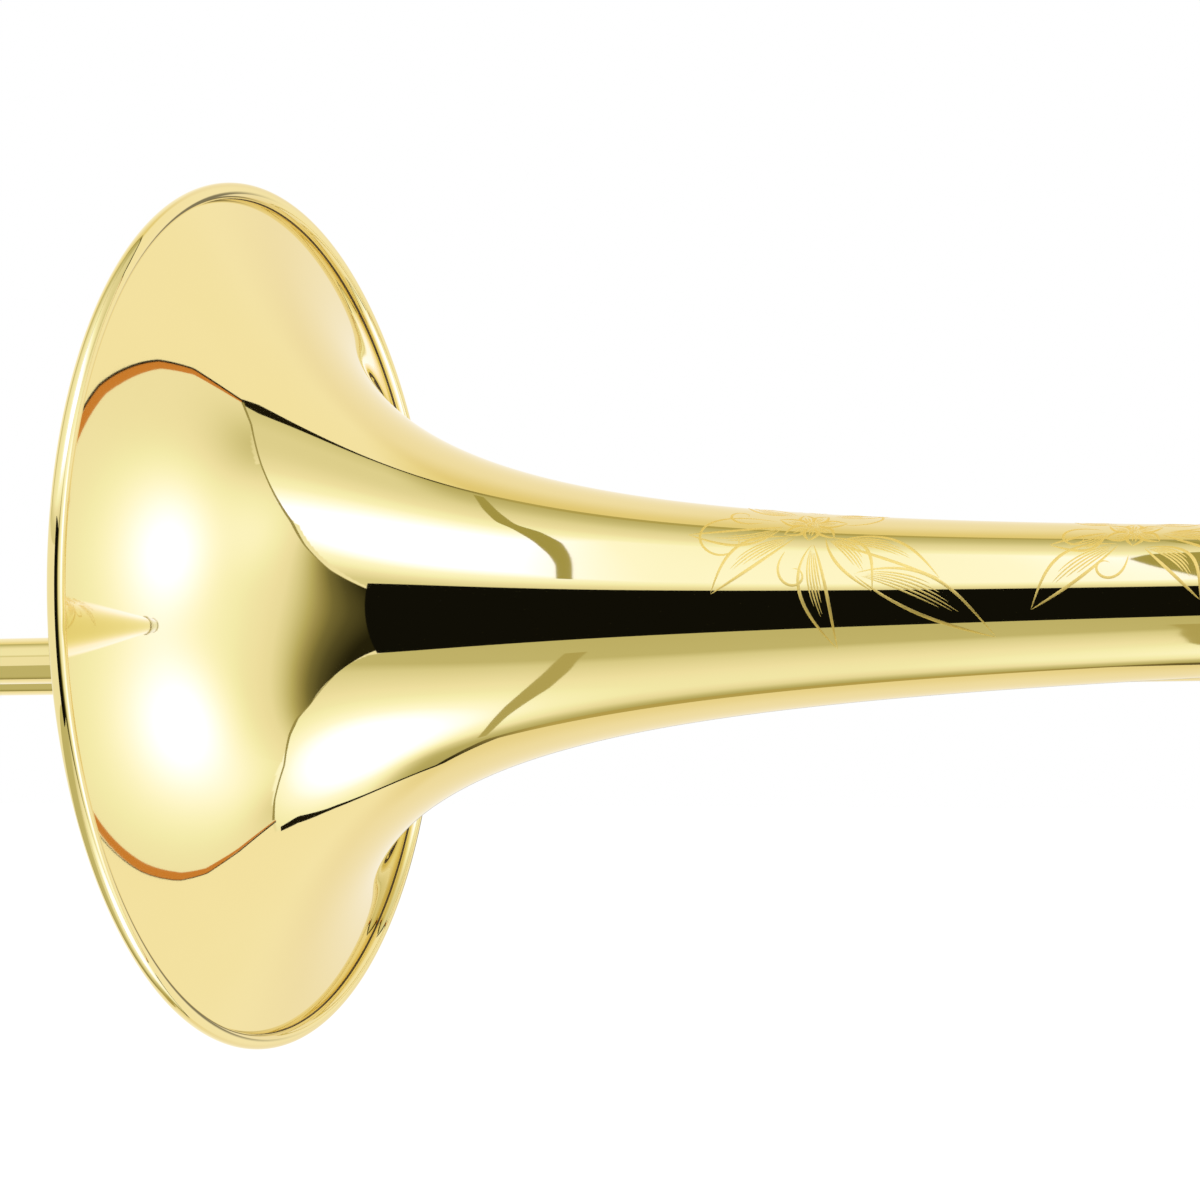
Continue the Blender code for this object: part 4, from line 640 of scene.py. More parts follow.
legs = (("neck", 0.0, NARROW_LEG_RADIUS), ("bell", BELL_AXIS_Y, WIDE_LEG_RADIUS))
for suffix, axis_y, radius in legs:
    inside = radius - LEG_WALL
    leg = [(LEG_TIP_X, inside, 0.1), (LEG_TIP_X, radius, 0.15), (BOW_JOINT_X, radius, 0), (BOW_JOINT_X, inside, 0)]
    turned(f"tuning_leg_{suffix}", "tuning_slide", "nickel_silver", leg, axis_y)
    collar = ferrule_corners(*BOW_FERRULE_X, radius + SEAT, radius + SEAT, radius + BOW_FERRULE_WALL)
    turned(f"tuning_bow_ferrule_{suffix}", "tuning_slide", "nickel_silver", collar, axis_y)
bow_radii = (NARROW_LEG_RADIUS, WIDE_LEG_RADIUS)
tuning_bow = skin("tuning_bow_bent", bent_tube(BOW_JOINT_X + 0.05, TUNING_BEND_X, BELL_AXIS_Y, bow_radii, LEG_WALL))
fit(tuning_bow, "tuning_slide", "lacquered_brass", "tuning_bow")
collar_ends = (
    ("bell", BELL_AXIS_Y, even(WIDE_LEG_RADIUS + BOW_FERRULE_WALL)),
    ("neck", 0.0, even(NARROW_LEG_RADIUS + BOW_FERRULE_WALL)),
)
brace("tuning_brace", "tuning_slide", 265.5, collar_ends, 5.9)

# Inner hand slide: two hard-chromed tubes whose last 120 mm, the stockings, are a hair thicker. A nickel silver
# barrel with a cork ring inside stands round the top of each tube, and a brass brace joins the barrels.
metal("chrome_plate", (0.83, 0.84, 0.86), (0.79, 0.80, 0.825), 0.05, 0.1)
SLIDE_SPACING = 85.0
INNER_RADIUS = 6.75
INNER_WALL = 0.4
INNER_TIP_X = -690.0
STOCKING_LENGTH = 120.0
STOCKING_RISE = 0.13
BARREL_X = (-66.0, -18.0)
BARREL_BORE = 8.9
BARREL_RADIUS = 9.75
CORK_X = (-32.3, -20.1)


def granular(slot, colours, crumb, rough, dent):
    """Matt stuff made of crumbs: cells of the given size, each of its own shade between two colours, dark between."""
    material = bpy.data.materials.new(f"{slot}_finish")
    finishes[slot] = material
    material.use_nodes = True
    tree = material.node_tree
    shader = tree.nodes["Principled BSDF"]
    place = tree.nodes.new("ShaderNodeTexCoord").outputs["Object"]
    cells = tree.nodes.new("ShaderNodeTexVoronoi")
    cells.inputs["Scale"].default_value = 1.0 / (crumb * MM)
    tree.links.new(place, cells.inputs["Vector"])
    shade = tree.nodes.new("ShaderNodeSeparateColor")
    tree.links.new(cells.outputs["Color"], shade.inputs["Color"])
    grain = noise_node(tree, place, 0.4 / (crumb * MM), 4.0)
    share = sum_node(tree, "MULTIPLY_ADD", shade.outputs["Red"], 0.6, sum_node(tree, "MULTIPLY", grain, 0.4))
    body = blend_node(tree, share, (*colours[0], 1), (*colours[1], 1))
    gap = sum_node(tree, "POWER", cells.outputs["Distance"], 3.0)
    tree.links.new(blend_node(tree, gap, body, (*colours[2], 1)), shader.inputs["Base Color"])
    tree.links.new(sum_node(tree, "MULTIPLY_ADD", grain, 0.15, rough), shader.inputs["Roughness"])
    bump = tree.nodes.new("ShaderNodeBump")
    bump.invert = True
    bump.inputs["Strength"].default_value = 0.6
    bump.inputs["Distance"].default_value = dent * MM
    tree.links.new(cells.outputs["Distance"], bump.inputs["Height"])
    tree.links.new(bump.outputs["Normal"], shader.inputs["Normal"])


granular("cork", ((0.66, 0.45, 0.27), (0.42, 0.25, 0.13), (0.20, 0.11, 0.05)), 0.8, 0.78, 0.12)
for suffix, axis_y, tail_x in (("lower", 0.0, -6.0), ("upper", SLIDE_SPACING, -5.0)):
    stocking = INNER_RADIUS + STOCKING_RISE
    tube = [
        (INNER_TIP_X, INNER_RADIUS - INNER_WALL, 0.1),
        (INNER_TIP_X, stocking, 0.5),
        (INNER_TIP_X + STOCKING_LENGTH, stocking, 1.0),
        (INNER_TIP_X + STOCKING_LENGTH + 3.0, INNER_RADIUS, 1.0),
        (tail_x, INNER_RADIUS, 0),
        (tail_x, INNER_RADIUS - INNER_WALL, 0),
    ]
    turned(f"inner_tube_{suffix}", "inner_slide", "chrome_plate", tube, axis_y)
    front, back = BARREL_X
    barrel = [
        (front, BARREL_BORE, 0.3),
        (front, BARREL_RADIUS, 0.35),
        (front + 1.6, BARREL_RADIUS, 0.1),
        (front + 1.8, BARREL_RADIUS - 0.2, 0.08),
        (front + 2.1, BARREL_RADIUS - 0.2, 0.08),
        (front + 2.3, BARREL_RADIUS, 0.1),
        (back - 7.8, BARREL_RADIUS, 0.1),
        (back - 7.6, BARREL_RADIUS - 0.25, 0.1),
        (back - 7.2, BARREL_RADIUS - 0.25, 0.1),
        (back - 7.0, BARREL_RADIUS, 0.15),
        (back - 5.0, BARREL_RADIUS, 0.15),
        (back - 4.8, BARREL_RADIUS - 0.25, 0.1),
        (back - 4.4, BARREL_RADIUS - 0.25, 0.1),
        (back - 4.2, BARREL_RADIUS, 0.1),
        (back - 1.5, BARREL_RADIUS, 0.7),
        (back, BARREL_RADIUS - 0.9, 0.4),
        (back, INNER_RADIUS + SEAT, 0),
        (back - 2.0, INNER_RADIUS + SEAT, 0),
        (back - 2.0, BARREL_BORE, 0.2),
    ]
    turned(f"cork_barrel_{suffix}", "inner_slide", "nickel_silver", barrel, axis_y)
    cork = [
        (CORK_X[0], INNER_RADIUS + SEAT, 0.2),
        (CORK_X[0], BARREL_BORE - 0.1, 0.5),
        (CORK_X[1], BARREL_BORE - 0.1, 0.2),
        (CORK_X[1], INNER_RADIUS + SEAT, 0),
    ]
    turned(f"barrel_cork_{suffix}", "inner_slide", "cork", cork, axis_y)
barrel_ends = (("lower", 0.0, even(BARREL_RADIUS)), ("upper", SLIDE_SPACING, even(BARREL_RADIUS)))
brace("inner_brace", "inner_slide", -40.0, barrel_ends, 8.6)

# Tenon and mouthpiece receiver at the top of the inner tubes, both turned nickel silver. The tenon's flange holds
# the lock nut captive; the receiver takes the mouthpiece's shank, and the brass leadpipe sits in the tube below it.
TENON_FLANGE_RADIUS = 9.9
NUT_FRONT_X = -12.0
SHANK_TIP_RADIUS = 5.6
SHANK_TAPER = 0.026
MOUTHPIECE_TIP_X = 17.0
RECEIVER_END_X = 42.0
LEADPIPE_LENGTH = 225.0
LEADPIPE_RADIUS = 6.05
start_x = BARREL_X[1] + 0.05
tube_bore = INNER_RADIUS + SEAT
tenon = [
    (start_x, tube_bore, 0),
    (start_x, TENON_RADIUS, 0.1),
    (NUT_FRONT_X + 3.6, TENON_RADIUS, 0.1),
    (NUT_FRONT_X + 3.6, TENON_FLANGE_RADIUS, 0.3),
    (-0.1, TENON_FLANGE_RADIUS, 0.2),
    (-0.1, TENON_RADIUS, 0.1),
    (20.4, TENON_RADIUS, 0.5),
    (21.8, TENON_RADIUS - 0.6, 0.3),
    (21.8, NECKPIPE_RADII[0] - NECKPIPE_WALL, 0.1),
    (-5.8, INNER_RADIUS - INNER_WALL, 0),
    (-5.8, tube_bore, 0),
]
turned("slide_tenon", "inner_slide", "nickel_silver", tenon)
mouth = SHANK_TIP_RADIUS + SHANK_TAPER * (RECEIVER_END_X - MOUTHPIECE_TIP_X) + SEAT
barrel_radius = 8.45
mouthpiece_receiver = [
    (start_x, tube_bore, 0),
    (start_x, 9.15, 0.3),
    (-13.7, 9.15, 0.4),
    (-13.2, 8.8, 0.15),
    (-12.7, 8.8, 0.15),
    (-12.2, 9.2, 0.3),
    (-11.4, 9.2, 0.3),
    (-10.9, 8.6, 0.4),
    (-7.0, barrel_radius, 1.5),
    (28.5, barrel_radius, 0.2),
    (28.8, barrel_radius + 0.3, 0.15),
    (29.6, barrel_radius + 0.3, 0.15),
    (29.9, barrel_radius, 0.2),
    (35.6, barrel_radius, 0.2),
    (36.2, barrel_radius + 0.9, 0.35),
    (38.3, barrel_radius + 0.9, 0.15),
    (38.5, barrel_radius + 0.6, 0.08),
    (38.9, barrel_radius + 0.6, 0.08),
    (39.1, barrel_radius + 0.9, 0.15),
    (41.3, barrel_radius + 0.9, 0.5),
    (RECEIVER_END_X, barrel_radius + 0.2, 0.3),
    (RECEIVER_END_X, mouth, 0.25),
    (MOUTHPIECE_TIP_X, SHANK_TIP_RADIUS + SEAT, 0.3),
    (-4.8, 5.75, 0),
    (-4.8, tube_bore, 0),
]
turned("mouthpiece_receiver", "inner_slide", "nickel_silver", mouthpiece_receiver, SLIDE_SPACING)
leadpipe = [
    (-5.0 - LEADPIPE_LENGTH, LEADPIPE_RADIUS - 0.3, 0),
    (-5.0 - LEADPIPE_LENGTH, LEADPIPE_RADIUS, 0.1),
    (-5.0, LEADPIPE_RADIUS, 0.1),
    (-5.0, LEADPIPE_RADIUS - 0.55, 0.2),
    (-61.0, LEADPIPE_RADIUS - 1.0, 20.0),
]
turned("leadpipe", "inner_slide", "lacquered_brass", leadpipe, SLIDE_SPACING)

# Bell lock nut: turned nickel silver with two diamond-knurled bands for the fingers and a smooth waist between.
# It is threaded inside, and a lip behind the tenon's flange keeps it on the slide.
NUT_LENGTH = 22.0
NUT_RADIUS = 12.15
NUT_BORE = 10.35
KNURL_DEPTH = 0.3


def knurl_height(x, t, count, pitch):
    """Cross-cut knurl: the lower of two slanting ridges, each |2 frac(count t / 2 pi +- x / pitch) - 1|."""
    first = np.abs(2 * np.mod(count * t / (2 * math.pi) + x / pitch, 1) - 1)
    second = np.abs(2 * np.mod(count * t / (2 * math.pi) - x / pitch, 1) - 1)
    return np.minimum(first, second)


def band(x, x0, x1, edge=0.3):
    """1 between two places, falling evenly to 0 over the edge before each."""
    return np.clip(np.minimum(x - x0, x1 - x) / edge, 0, 1)


def finely(outline, step, least_radius):
    """The outline with more points, one for each step, where it lies beyond a radius."""
    closed = np.concatenate([outline, outline[:, :1]], axis=1)
    length = np.concatenate([[0], np.cumsum(np.hypot(*np.diff(closed)))])
    extra = np.arange(0, length[-1], step)
    extra = extra[np.interp(extra, length, closed[1]) > least_radius]
    places = np.unique(np.concatenate([length[:-1], extra]))
    return np.stack([np.interp(places, length, row) for row in closed])


nut_end = NUT_FRONT_X + NUT_LENGTH
nut = [
    (NUT_FRONT_X, 8.1, 0.2),
    (NUT_FRONT_X, NUT_BORE - 0.4, 0.4),
    (NUT_FRONT_X + 1.2, NUT_RADIUS - 0.7, 0.5),
    (NUT_FRONT_X + 1.6, NUT_RADIUS, 0.3),
    (NUT_FRONT_X + 8.8, NUT_RADIUS, 0.4),
    (NUT_FRONT_X + 9.4, NUT_RADIUS - 0.6, 0.3),
    (NUT_FRONT_X + 12.6, NUT_RADIUS - 0.6, 0.3),
    (NUT_FRONT_X + 13.2, NUT_RADIUS, 0.4),
    (nut_end - 1.6, NUT_RADIUS, 0.3),
    (nut_end - 1.2, NUT_RADIUS - 0.7, 0.5),
    (nut_end, NUT_RADIUS - 1.2, 0.4),
    (nut_end, NUT_BORE, 0.2),
    (NUT_FRONT_X + 3.3, NUT_BORE, 0.1),
    (NUT_FRONT_X + 3.3, 8.1, 0.2),
]
NUT_COUNT = 42
outline = finely(rounded(nut), 0.2, NUT_RADIUS - 0.3)
grid = carried_round(outline, columns=8 * NUT_COUNT)
t = np.linspace(0, 2 * math.pi, 8 * NUT_COUNT, endpoint=False)
x = outline[0][:, None]
cover = band(x, NUT_FRONT_X + 1.9, NUT_FRONT_X + 8.6) + band(x, NUT_FRONT_X + 13.4, nut_end - 1.9)
cover = cover * (outline[1][:, None] > NUT_RADIUS - 0.3)
growth = 1 + cover * KNURL_DEPTH * (knurl_height(x, t, NUT_COUNT, 1.8) - 0.5) / NUT_RADIUS
grid[..., 1:] *= growth[..., None]
fit(skin("bell_lock_nut_knurled", grid), "bell_lock", "nickel_silver", "bell_lock_nut")

# Slide lock ring: nickel silver, turning on the lower barrel. A slot runs in from its front edge and then round,
# so that a quarter of a turn catches the lug on the outer slide and holds the slide closed.
LOCK_FRONT_X = -82.0
LOCK_END_X = -54.0
LOCK_RADIUS = 11.55
LOCK_BORE = 10.0
LOCK_COUNT = 40
LUG_X = -74.0
SLOT_HALF = 1.9
SLOT_HALF_ANGLE = 9.6
SLOT_TURN_END = 38.8


def slab(name, outer, inner, kept=None, round_it=False, sharp=40.0):
    """A plate between two grids: the kept cells of both, and a wall wherever a kept cell has no neighbour."""
    rows, columns = outer.shape[:2]
    index = np.arange(rows * columns).reshape(rows, columns)
    if round_it:
        index = np.concatenate([index, index[:, :1]], axis=1)
    quad = np.stack([index[:-1, :-1], index[:-1, 1:], index[1:, 1:], index[1:, :-1]], axis=-1)
    if kept is None:
        kept = np.ones(quad.shape[:2], bool)
    around = np.pad(kept, ((1, 1), (0, 0)))
    around = np.pad(around, ((0, 0), (1, 1)), mode="wrap" if round_it else "constant")
    under = rows * columns
    faces = [quad[kept], quad[kept] + under]
    beside = ((around[:-2, 1:-1], 0, 1), (around[1:-1, 2:], 1, 2), (around[2:, 1:-1], 2, 3), (around[1:-1, :-2], 3, 0))
    for neighbour, start, end in beside:
        edge = quad[kept & ~neighbour]
        faces.append(np.stack([edge[:, start], edge[:, end], edge[:, end] + under, edge[:, start] + under], axis=-1))
    points = np.concatenate([outer.reshape(-1, 3), inner.reshape(-1, 3)])
    return mesh_piece(name, points, np.concatenate(faces), sharp)


angles = np.concatenate(
    [
        np.linspace(-SLOT_HALF_ANGLE, SLOT_HALF_ANGLE, 18, endpoint=False),
        np.linspace(SLOT_HALF_ANGLE, SLOT_TURN_END, 26, endpoint=False),
        np.linspace(SLOT_TURN_END, 360 - SLOT_HALF_ANGLE, 276, endpoint=False),
    ]
)
rows_x = np.concatenate(
    [
        np.linspace(LOCK_FRONT_X, LUG_X - SLOT_HALF, 30, endpoint=False),
        np.linspace(LUG_X - SLOT_HALF, LUG_X + SLOT_HALF, 18, endpoint=False),
        np.linspace(LUG_X + SLOT_HALF, LOCK_END_X, 84),
    ]
)
t = np.radians(angles)
x = rows_x[:, None]
from_end = np.minimum(x - LOCK_FRONT_X, LOCK_END_X - x)
body = LOCK_RADIUS - 0.6 * np.clip(1 - from_end / 1.1, 0, 1) ** 2
waist = band(x, -67.2, -62.3, 0.5)
body = body - 0.55 * waist * waist * (3 - 2 * waist)
cover = band(x, LOCK_FRONT_X + 1.4, -67.6) + band(x, -61.9, LOCK_END_X - 1.4)
radius = body + cover * KNURL_DEPTH * (knurl_height(x, t, LOCK_COUNT, 1.8) - 0.5)
shells = [np.stack([x + 0 * t, r * np.sin(t), r * np.cos(t)], axis=-1) * MM for r in (radius, LOCK_BORE + 0 * radius)]
cell_x = (rows_x[:-1, None] + rows_x[1:, None]) / 2
cell_angle = angles + 0.3
entry = (cell_x < LUG_X + SLOT_HALF) & (np.abs(np.mod(cell_angle + 180, 360) - 180) < SLOT_HALF_ANGLE)
cross = (np.abs(cell_x - LUG_X) < SLOT_HALF) & (cell_angle > 0) & (cell_angle < SLOT_TURN_END)
lock_ring = slab("slide_lock_ring_knurled", *shells, ~(entry | cross), round_it=True)
fit(lock_ring, "slide_lock", "nickel_silver", "slide_lock_ring")

# Outer hand slide: two light brass tubes joined by a brass bow at the far end. Nickel silver rings strengthen
# their tops, the lower one with the lock's lug, and the player's right hand holds the brass brace.
OUTER_RADIUS = 7.4
OUTER_WALL = 0.4
OUTER_END_X = -697.0
TOP_RING_X = (-87.6, -32.6)
TOP_RING_RADIUS = 8.4
LUG_RADIUS = 1.3
LUG_TOP = 11.35
for suffix, axis_y in (("lower", 0.0), ("upper", SLIDE_SPACING)):
    inside = OUTER_RADIUS - OUTER_WALL
    tube = [(OUTER_END_X, inside, 0), (OUTER_END_X, OUTER_RADIUS, 0), (TOP_RING_X[1], OUTER_RADIUS, 0.15)]
    tube += [(TOP_RING_X[1], inside, 0.15)]
    turned(f"outer_tube_{suffix}", "outer_slide", "lacquered_brass", tube, axis_y)
    front, back = TOP_RING_X
    ring = [
        (front, OUTER_RADIUS + SEAT, 0),
        (front, OUTER_RADIUS + 0.25, 0.1),
        (front + 0.9, OUTER_RADIUS + 0.35, 0.3),
        (front + 1.4, TOP_RING_RADIUS, 0.3),
        (front + 2.4, TOP_RING_RADIUS, 0.3),
        (front + 2.7, TOP_RING_RADIUS - 0.3, 0.1),
        (front + 3.0, TOP_RING_RADIUS - 0.3, 0.1),
        (front + 3.3, TOP_RING_RADIUS - 0.05, 0.15),
        (back - 0.6, TOP_RING_RADIUS - 0.05, 0.4),
        (back, TOP_RING_RADIUS - 0.5, 0.2),
        (back, OUTER_RADIUS + SEAT, 0),
    ]
    turned(f"top_ring_{suffix}", "outer_slide", "nickel_silver", ring, axis_y)
lug = [(TOP_RING_RADIUS - 0.4, 0, 0), (TOP_RING_RADIUS - 0.4, LUG_RADIUS, 0), (LUG_TOP, LUG_RADIUS, 0.4), (LUG_TOP, 0, 0)]
fit(
    skin("lock_lug_turned", carried_round(rounded(lug), (LUG_X, 0, 0), 2, 40), close_rows=False),
    "outer_slide",
    "nickel_silver",
)
hand_ends = (("lower", 0.0, even(OUTER_RADIUS)), ("upper", SLIDE_SPACING, even(OUTER_RADIUS)))
brace("hand_brace", "outer_slide", -115.0, hand_ends, 8.2)
SLIDE_BEND_X = -725.0
BOW_FERRULE_ENDS = (-706.0, -683.0)
BOW_FERRULE_RADIUS = 8.7
bow = bent_tube(OUTER_END_X - 0.05, SLIDE_BEND_X, SLIDE_SPACING, (OUTER_RADIUS, OUTER_RADIUS), OUTER_WALL)
fit(skin("slide_bow_bent", bow), "outer_slide", "lacquered_brass", "slide_bow")
for suffix, axis_y in (("lower", 0.0), ("upper", SLIDE_SPACING)):
    bore = OUTER_RADIUS + SEAT
    collar = ferrule_corners(*BOW_FERRULE_ENDS, bore, bore, BOW_FERRULE_RADIUS)
    turned(f"slide_bow_ferrule_{suffix}", "outer_slide", "nickel_silver", collar, axis_y)

# Bow guard: a nickel silver plate dished to lie on the outside of the bow, soldered on, with a turned boss at its
# middle. The boss holds a soft rubber bumper that the slide stands on.
GUARD_BORE = OUTER_RADIUS + 0.05
GUARD_RADIUS = 8.6
GUARD_HALF_ANGLE = 52.0
GUARD_WRAP = 55.0
BOSS_END_X = -781.1
BUMPER_STEM = 4.5
BUMPER_FACE_X = -786.35


def on_bow(along, around, radius):
    """Points on the outer side of the slide bow: angles along the bend and round the tube, distance from its middle."""
    out = SLIDE_SPACING / 2 + radius * np.cos(around)
    x = SLIDE_BEND_X - out * np.cos(along)
    y = SLIDE_SPACING / 2 + out * np.sin(along)
    return np.stack([x, y, radius * np.sin(around) + 0 * x], axis=-1) * MM


u = np.sin(np.linspace(-math.pi / 2, math.pi / 2, 81))[:, None]
v = np.linspace(-1, 1, 41)
along = np.radians(GUARD_HALF_ANGLE) * u
around = np.radians(GUARD_WRAP) * v * (1 - np.abs(u) ** 5) ** 0.4
edge = np.minimum(1 - np.abs(v), 1 - np.abs(u)) / 0.06
thickness = (GUARD_RADIUS - GUARD_BORE) * (0.55 + 0.45 * np.sqrt(1 - (1 - np.clip(edge, 0, 1)) ** 2))
guard = slab("bow_guard_pressed", on_bow(along, around, GUARD_BORE + thickness), on_bow(along, around, GUARD_BORE))
fit(guard, "outer_slide", "nickel_silver", "bow_guard")
boss = [
    (BOSS_END_X, BUMPER_STEM + 0.05, 0.15),
    (BOSS_END_X, 6.5, 0.35),
    (-779.6, 6.5, 0.15),
    (-779.4, 6.25, 0.1),
    (-779.0, 6.25, 0.1),
    (-778.8, 6.5, 0.2),
    (-777.6, 6.5, 0.8),
    (-776.0, 7.2, 0.5),
    (-768.0, 7.2, 0),
    (-768.0, BUMPER_STEM + 0.05, 0),
]
grid = carried_round(finely(rounded(boss), 0.4, 0), (0, SLIDE_SPACING / 2, 0), 0, 96)
reach = np.sqrt(np.maximum((GUARD_RADIUS - 0.2) ** 2 - (grid[..., 2] / MM) ** 2, 0)) + SLIDE_SPACING / 2
guard_x = SLIDE_BEND_X - np.sqrt(reach**2 - (grid[..., 1] / MM - SLIDE_SPACING / 2) ** 2)
grid[..., 0] = np.minimum(grid[..., 0], guard_x * MM)
fit(skin("bumper_boss_turned", grid), "outer_slide", "nickel_silver")
granular("rubber", ((0.035, 0.034, 0.032), (0.022, 0.022, 0.021), (0.012, 0.012, 0.012)), 0.35, 0.52, 0.02)
bumper = [
    (-777.4, 0, 0),
    (-777.4, BUMPER_STEM, 0.3),
    (BOSS_END_X - 0.05, BUMPER_STEM, 0.1),
    (BOSS_END_X - 0.05, 7.6, 0.6),
    (-783.6, 7.6, 1.6),
    (BUMPER_FACE_X, 6.4, 1.6),
    (BUMPER_FACE_X, 0, 0),
]
turned("bumper", "outer_slide", "rubber", bumper, SLIDE_SPACING / 2)

# Water key mount on the lower leg of the bow, in nickel silver: a nipple over the drain hole, and a saddle over the
# ferrule with two cheeks that hold the steel hinge screw. A wound steel spring presses the key shut.
metal("steel", (0.60, 0.61, 0.63), (0.52, 0.53, 0.55), 0.16, 0.4)
NIPPLE_X = -717.0
NIPPLE_TOP = 11.4
NIPPLE_BORE = 1.6
PIVOT_X = -699.0
PIVOT_HEIGHT = 13.4
SADDLE_RADII = (8.75, 9.7)
SADDLE_HALF = 6.0
SADDLE_SPAN = 62.0
CHEEK_Z = (6.65, 8.0)
CHEEK_HALF = 2.6
SCREW_RADIUS = 1.0
SPRING_WIRE = 0.3
SPRING_COIL = 2.65
SPRING_TURNS = 3.5
SPRING_PITCH = 1.06
SPRING_LEG = 9.0
nipple = [
    (5.0, NIPPLE_BORE, 0),
    (5.0, 4.6, 0),
    (7.9, 4.6, 0.3),
    (8.3, 3.7, 0.4),
    (9.0, 3.1, 0.5),
    (9.6, 3.1, 0.1),
    (9.8, 3.35, 0.15),
    (10.3, 3.35, 0.15),
    (10.5, 3.0, 0.2),
    (NIPPLE_TOP, 2.3, 0.25),
    (NIPPLE_TOP, NIPPLE_BORE, 0.15),
]
grid = carried_round(finely(rounded(nipple), 0.25, 0) * np.array([[-1], [1]]), (NIPPLE_X, 0, 0), 1, 64)
tube_y = -np.sqrt(np.maximum((OUTER_RADIUS - 0.05) ** 2 - (grid[..., 2] / MM) ** 2, 0)) * MM
grid[..., 1] = np.minimum(grid[..., 1], tube_y)
fit(skin("water_key_nipple_turned", grid), "outer_slide", "nickel_silver", "water_key_nipple")


def cheek(z0, z1):
    """A cheek plate between two heights: from the screw's hole out to a round top and straight sides down.

    At the angle t from straight up the outline lies at the half width, or at half width / |sin t| below the pivot,
    and what would go deeper stops inside the saddle.
    """
    t = np.linspace(0, 2 * math.pi, 72, endpoint=False)
    down = np.maximum(np.abs(np.sin(t)), 0.28)
    outline = np.where(np.cos(t) > 0, CHEEK_HALF, CHEEK_HALF / down)
    share = np.linspace(0, 1, 9)[:, None]
    reach = SCREW_RADIUS + 0.03 + share * (outline - SCREW_RADIUS - 0.03)
    x = PIVOT_X + reach * np.sin(t)
    height = PIVOT_HEIGHT + reach * np.cos(t)
    sides = []
    for z in (z1, z0):
        floor = math.sqrt(9.2**2 - z**2)
        sides.append(np.stack([x, -np.maximum(height, floor), z + 0 * x], axis=-1) * MM)
    return sides


span = np.radians(SADDLE_SPAN) * np.linspace(-1, 1, 49)[:, None]
length = np.linspace(-1, 1, 25)
corner_cut = 1 - 0.12 * np.abs(length) ** 6
edge = np.minimum(1 - np.abs(length), 1 - np.abs(span) / np.radians(SADDLE_SPAN)) / 0.08
rise = 0.6 + 0.4 * np.sqrt(1 - (1 - np.clip(edge, 0, 1)) ** 2)
plates = []
for radius in (SADDLE_RADII[0] + (SADDLE_RADII[1] - SADDLE_RADII[0]) * rise, SADDLE_RADII[0] + 0 * rise):
    x = PIVOT_X + SADDLE_HALF * length + 0 * span
    plates.append(np.stack([x, -radius * np.cos(span * corner_cut), radius * np.sin(span * corner_cut)], axis=-1) * MM)
fit(slab("water_key_saddle_pressed", *plates), "outer_slide", "nickel_silver", "water_key_saddle")
for label, sign in (("near", 1), ("far", -1)):
    plate = slab(f"water_key_cheek_{label}", *cheek(*(sign * z for z in CHEEK_Z)), round_it=True)
    fit(plate, "outer_slide", "nickel_silver")
screw = [
    (-9.4, 0, 0),
    (-9.4, 1.35, 0.3),
    (-8.95, 1.8, 0.3),
    (-8.05, 1.8, 0.1),
    (-8.05, SCREW_RADIUS, 0.1),
    (8.3, SCREW_RADIUS, 0.3),
    (8.3, 0, 0),
]
grid = carried_round(rounded(screw), (PIVOT_X, -PIVOT_HEIGHT, 0), 2, 48)
fit(skin("water_key_hinge_rod_turned", grid, close_rows=False), "outer_slide", "steel", "water_key_hinge_rod")

# The spring's wire starts flat on the saddle, winds round the hinge and ends in a leg under the lever. At the
# angle a the coil's middle is the pivot + (-c sin a, c cos a), c its radius, one pitch along Z to the turn. The leg
# moves with the lever, so it is drawn as a piece of its own that starts within the coil's last stretch.
def drawn_wire(name, path, radius, body, *nodes):
    """A round steel wire along a path given from the hinge: circles of the radius across the path, ends closed."""
    wire = path + (PIVOT_X, -PIVOT_HEIGHT, 0)
    along = np.gradient(wire, axis=0)
    along /= np.linalg.norm(along, axis=1)[:, None]
    side = np.cross(along, (0, 0, 1))
    side /= np.linalg.norm(side, axis=1)[:, None]
    up = np.cross(side, along)
    t = np.linspace(0, 2 * math.pi, 16, endpoint=False)[:, None]
    swept = wire[:, None] + radius * (side[:, None] * np.cos(t) + up[:, None] * np.sin(t))
    swept = np.concatenate([swept[:1] * 0 + wire[0], swept, swept[:1] * 0 + wire[-1]]) * MM
    fit(skin(name, swept, close_rows=False), body, "steel", *nodes)


def coil_at(a):
    """The coil's middle line at the angles a, from the hinge."""
    return np.stack([-SPRING_COIL * np.sin(a), SPRING_COIL * np.cos(a), 5.9 - SPRING_PITCH * a / (2 * math.pi)], axis=-1)


last = 2 * math.pi * SPRING_TURNS
coil = coil_at(np.linspace(0, last, 150))
leg = np.linspace(0, 1, 24)[1:, None]
first_leg = coil[:1] + leg[::-1] * (SPRING_LEG, 0, 0)
drawn_wire("water_key_spring_wound", np.concatenate([first_leg, coil]), SPRING_WIRE, "outer_slide", "water_key_spring")
last_leg = coil[-1:] + leg * (SPRING_LEG, 0, 0) + leg**2 * (3 - 2 * leg) * (0, 0, 0.75 - coil[-1, 2])
entry = coil_at(np.linspace(last - math.radians(27), last, 10))
drawn_wire("water_key_spring_leg", np.concatenate([entry, last_leg]), 0.94 * SPRING_WIRE, "water_key")

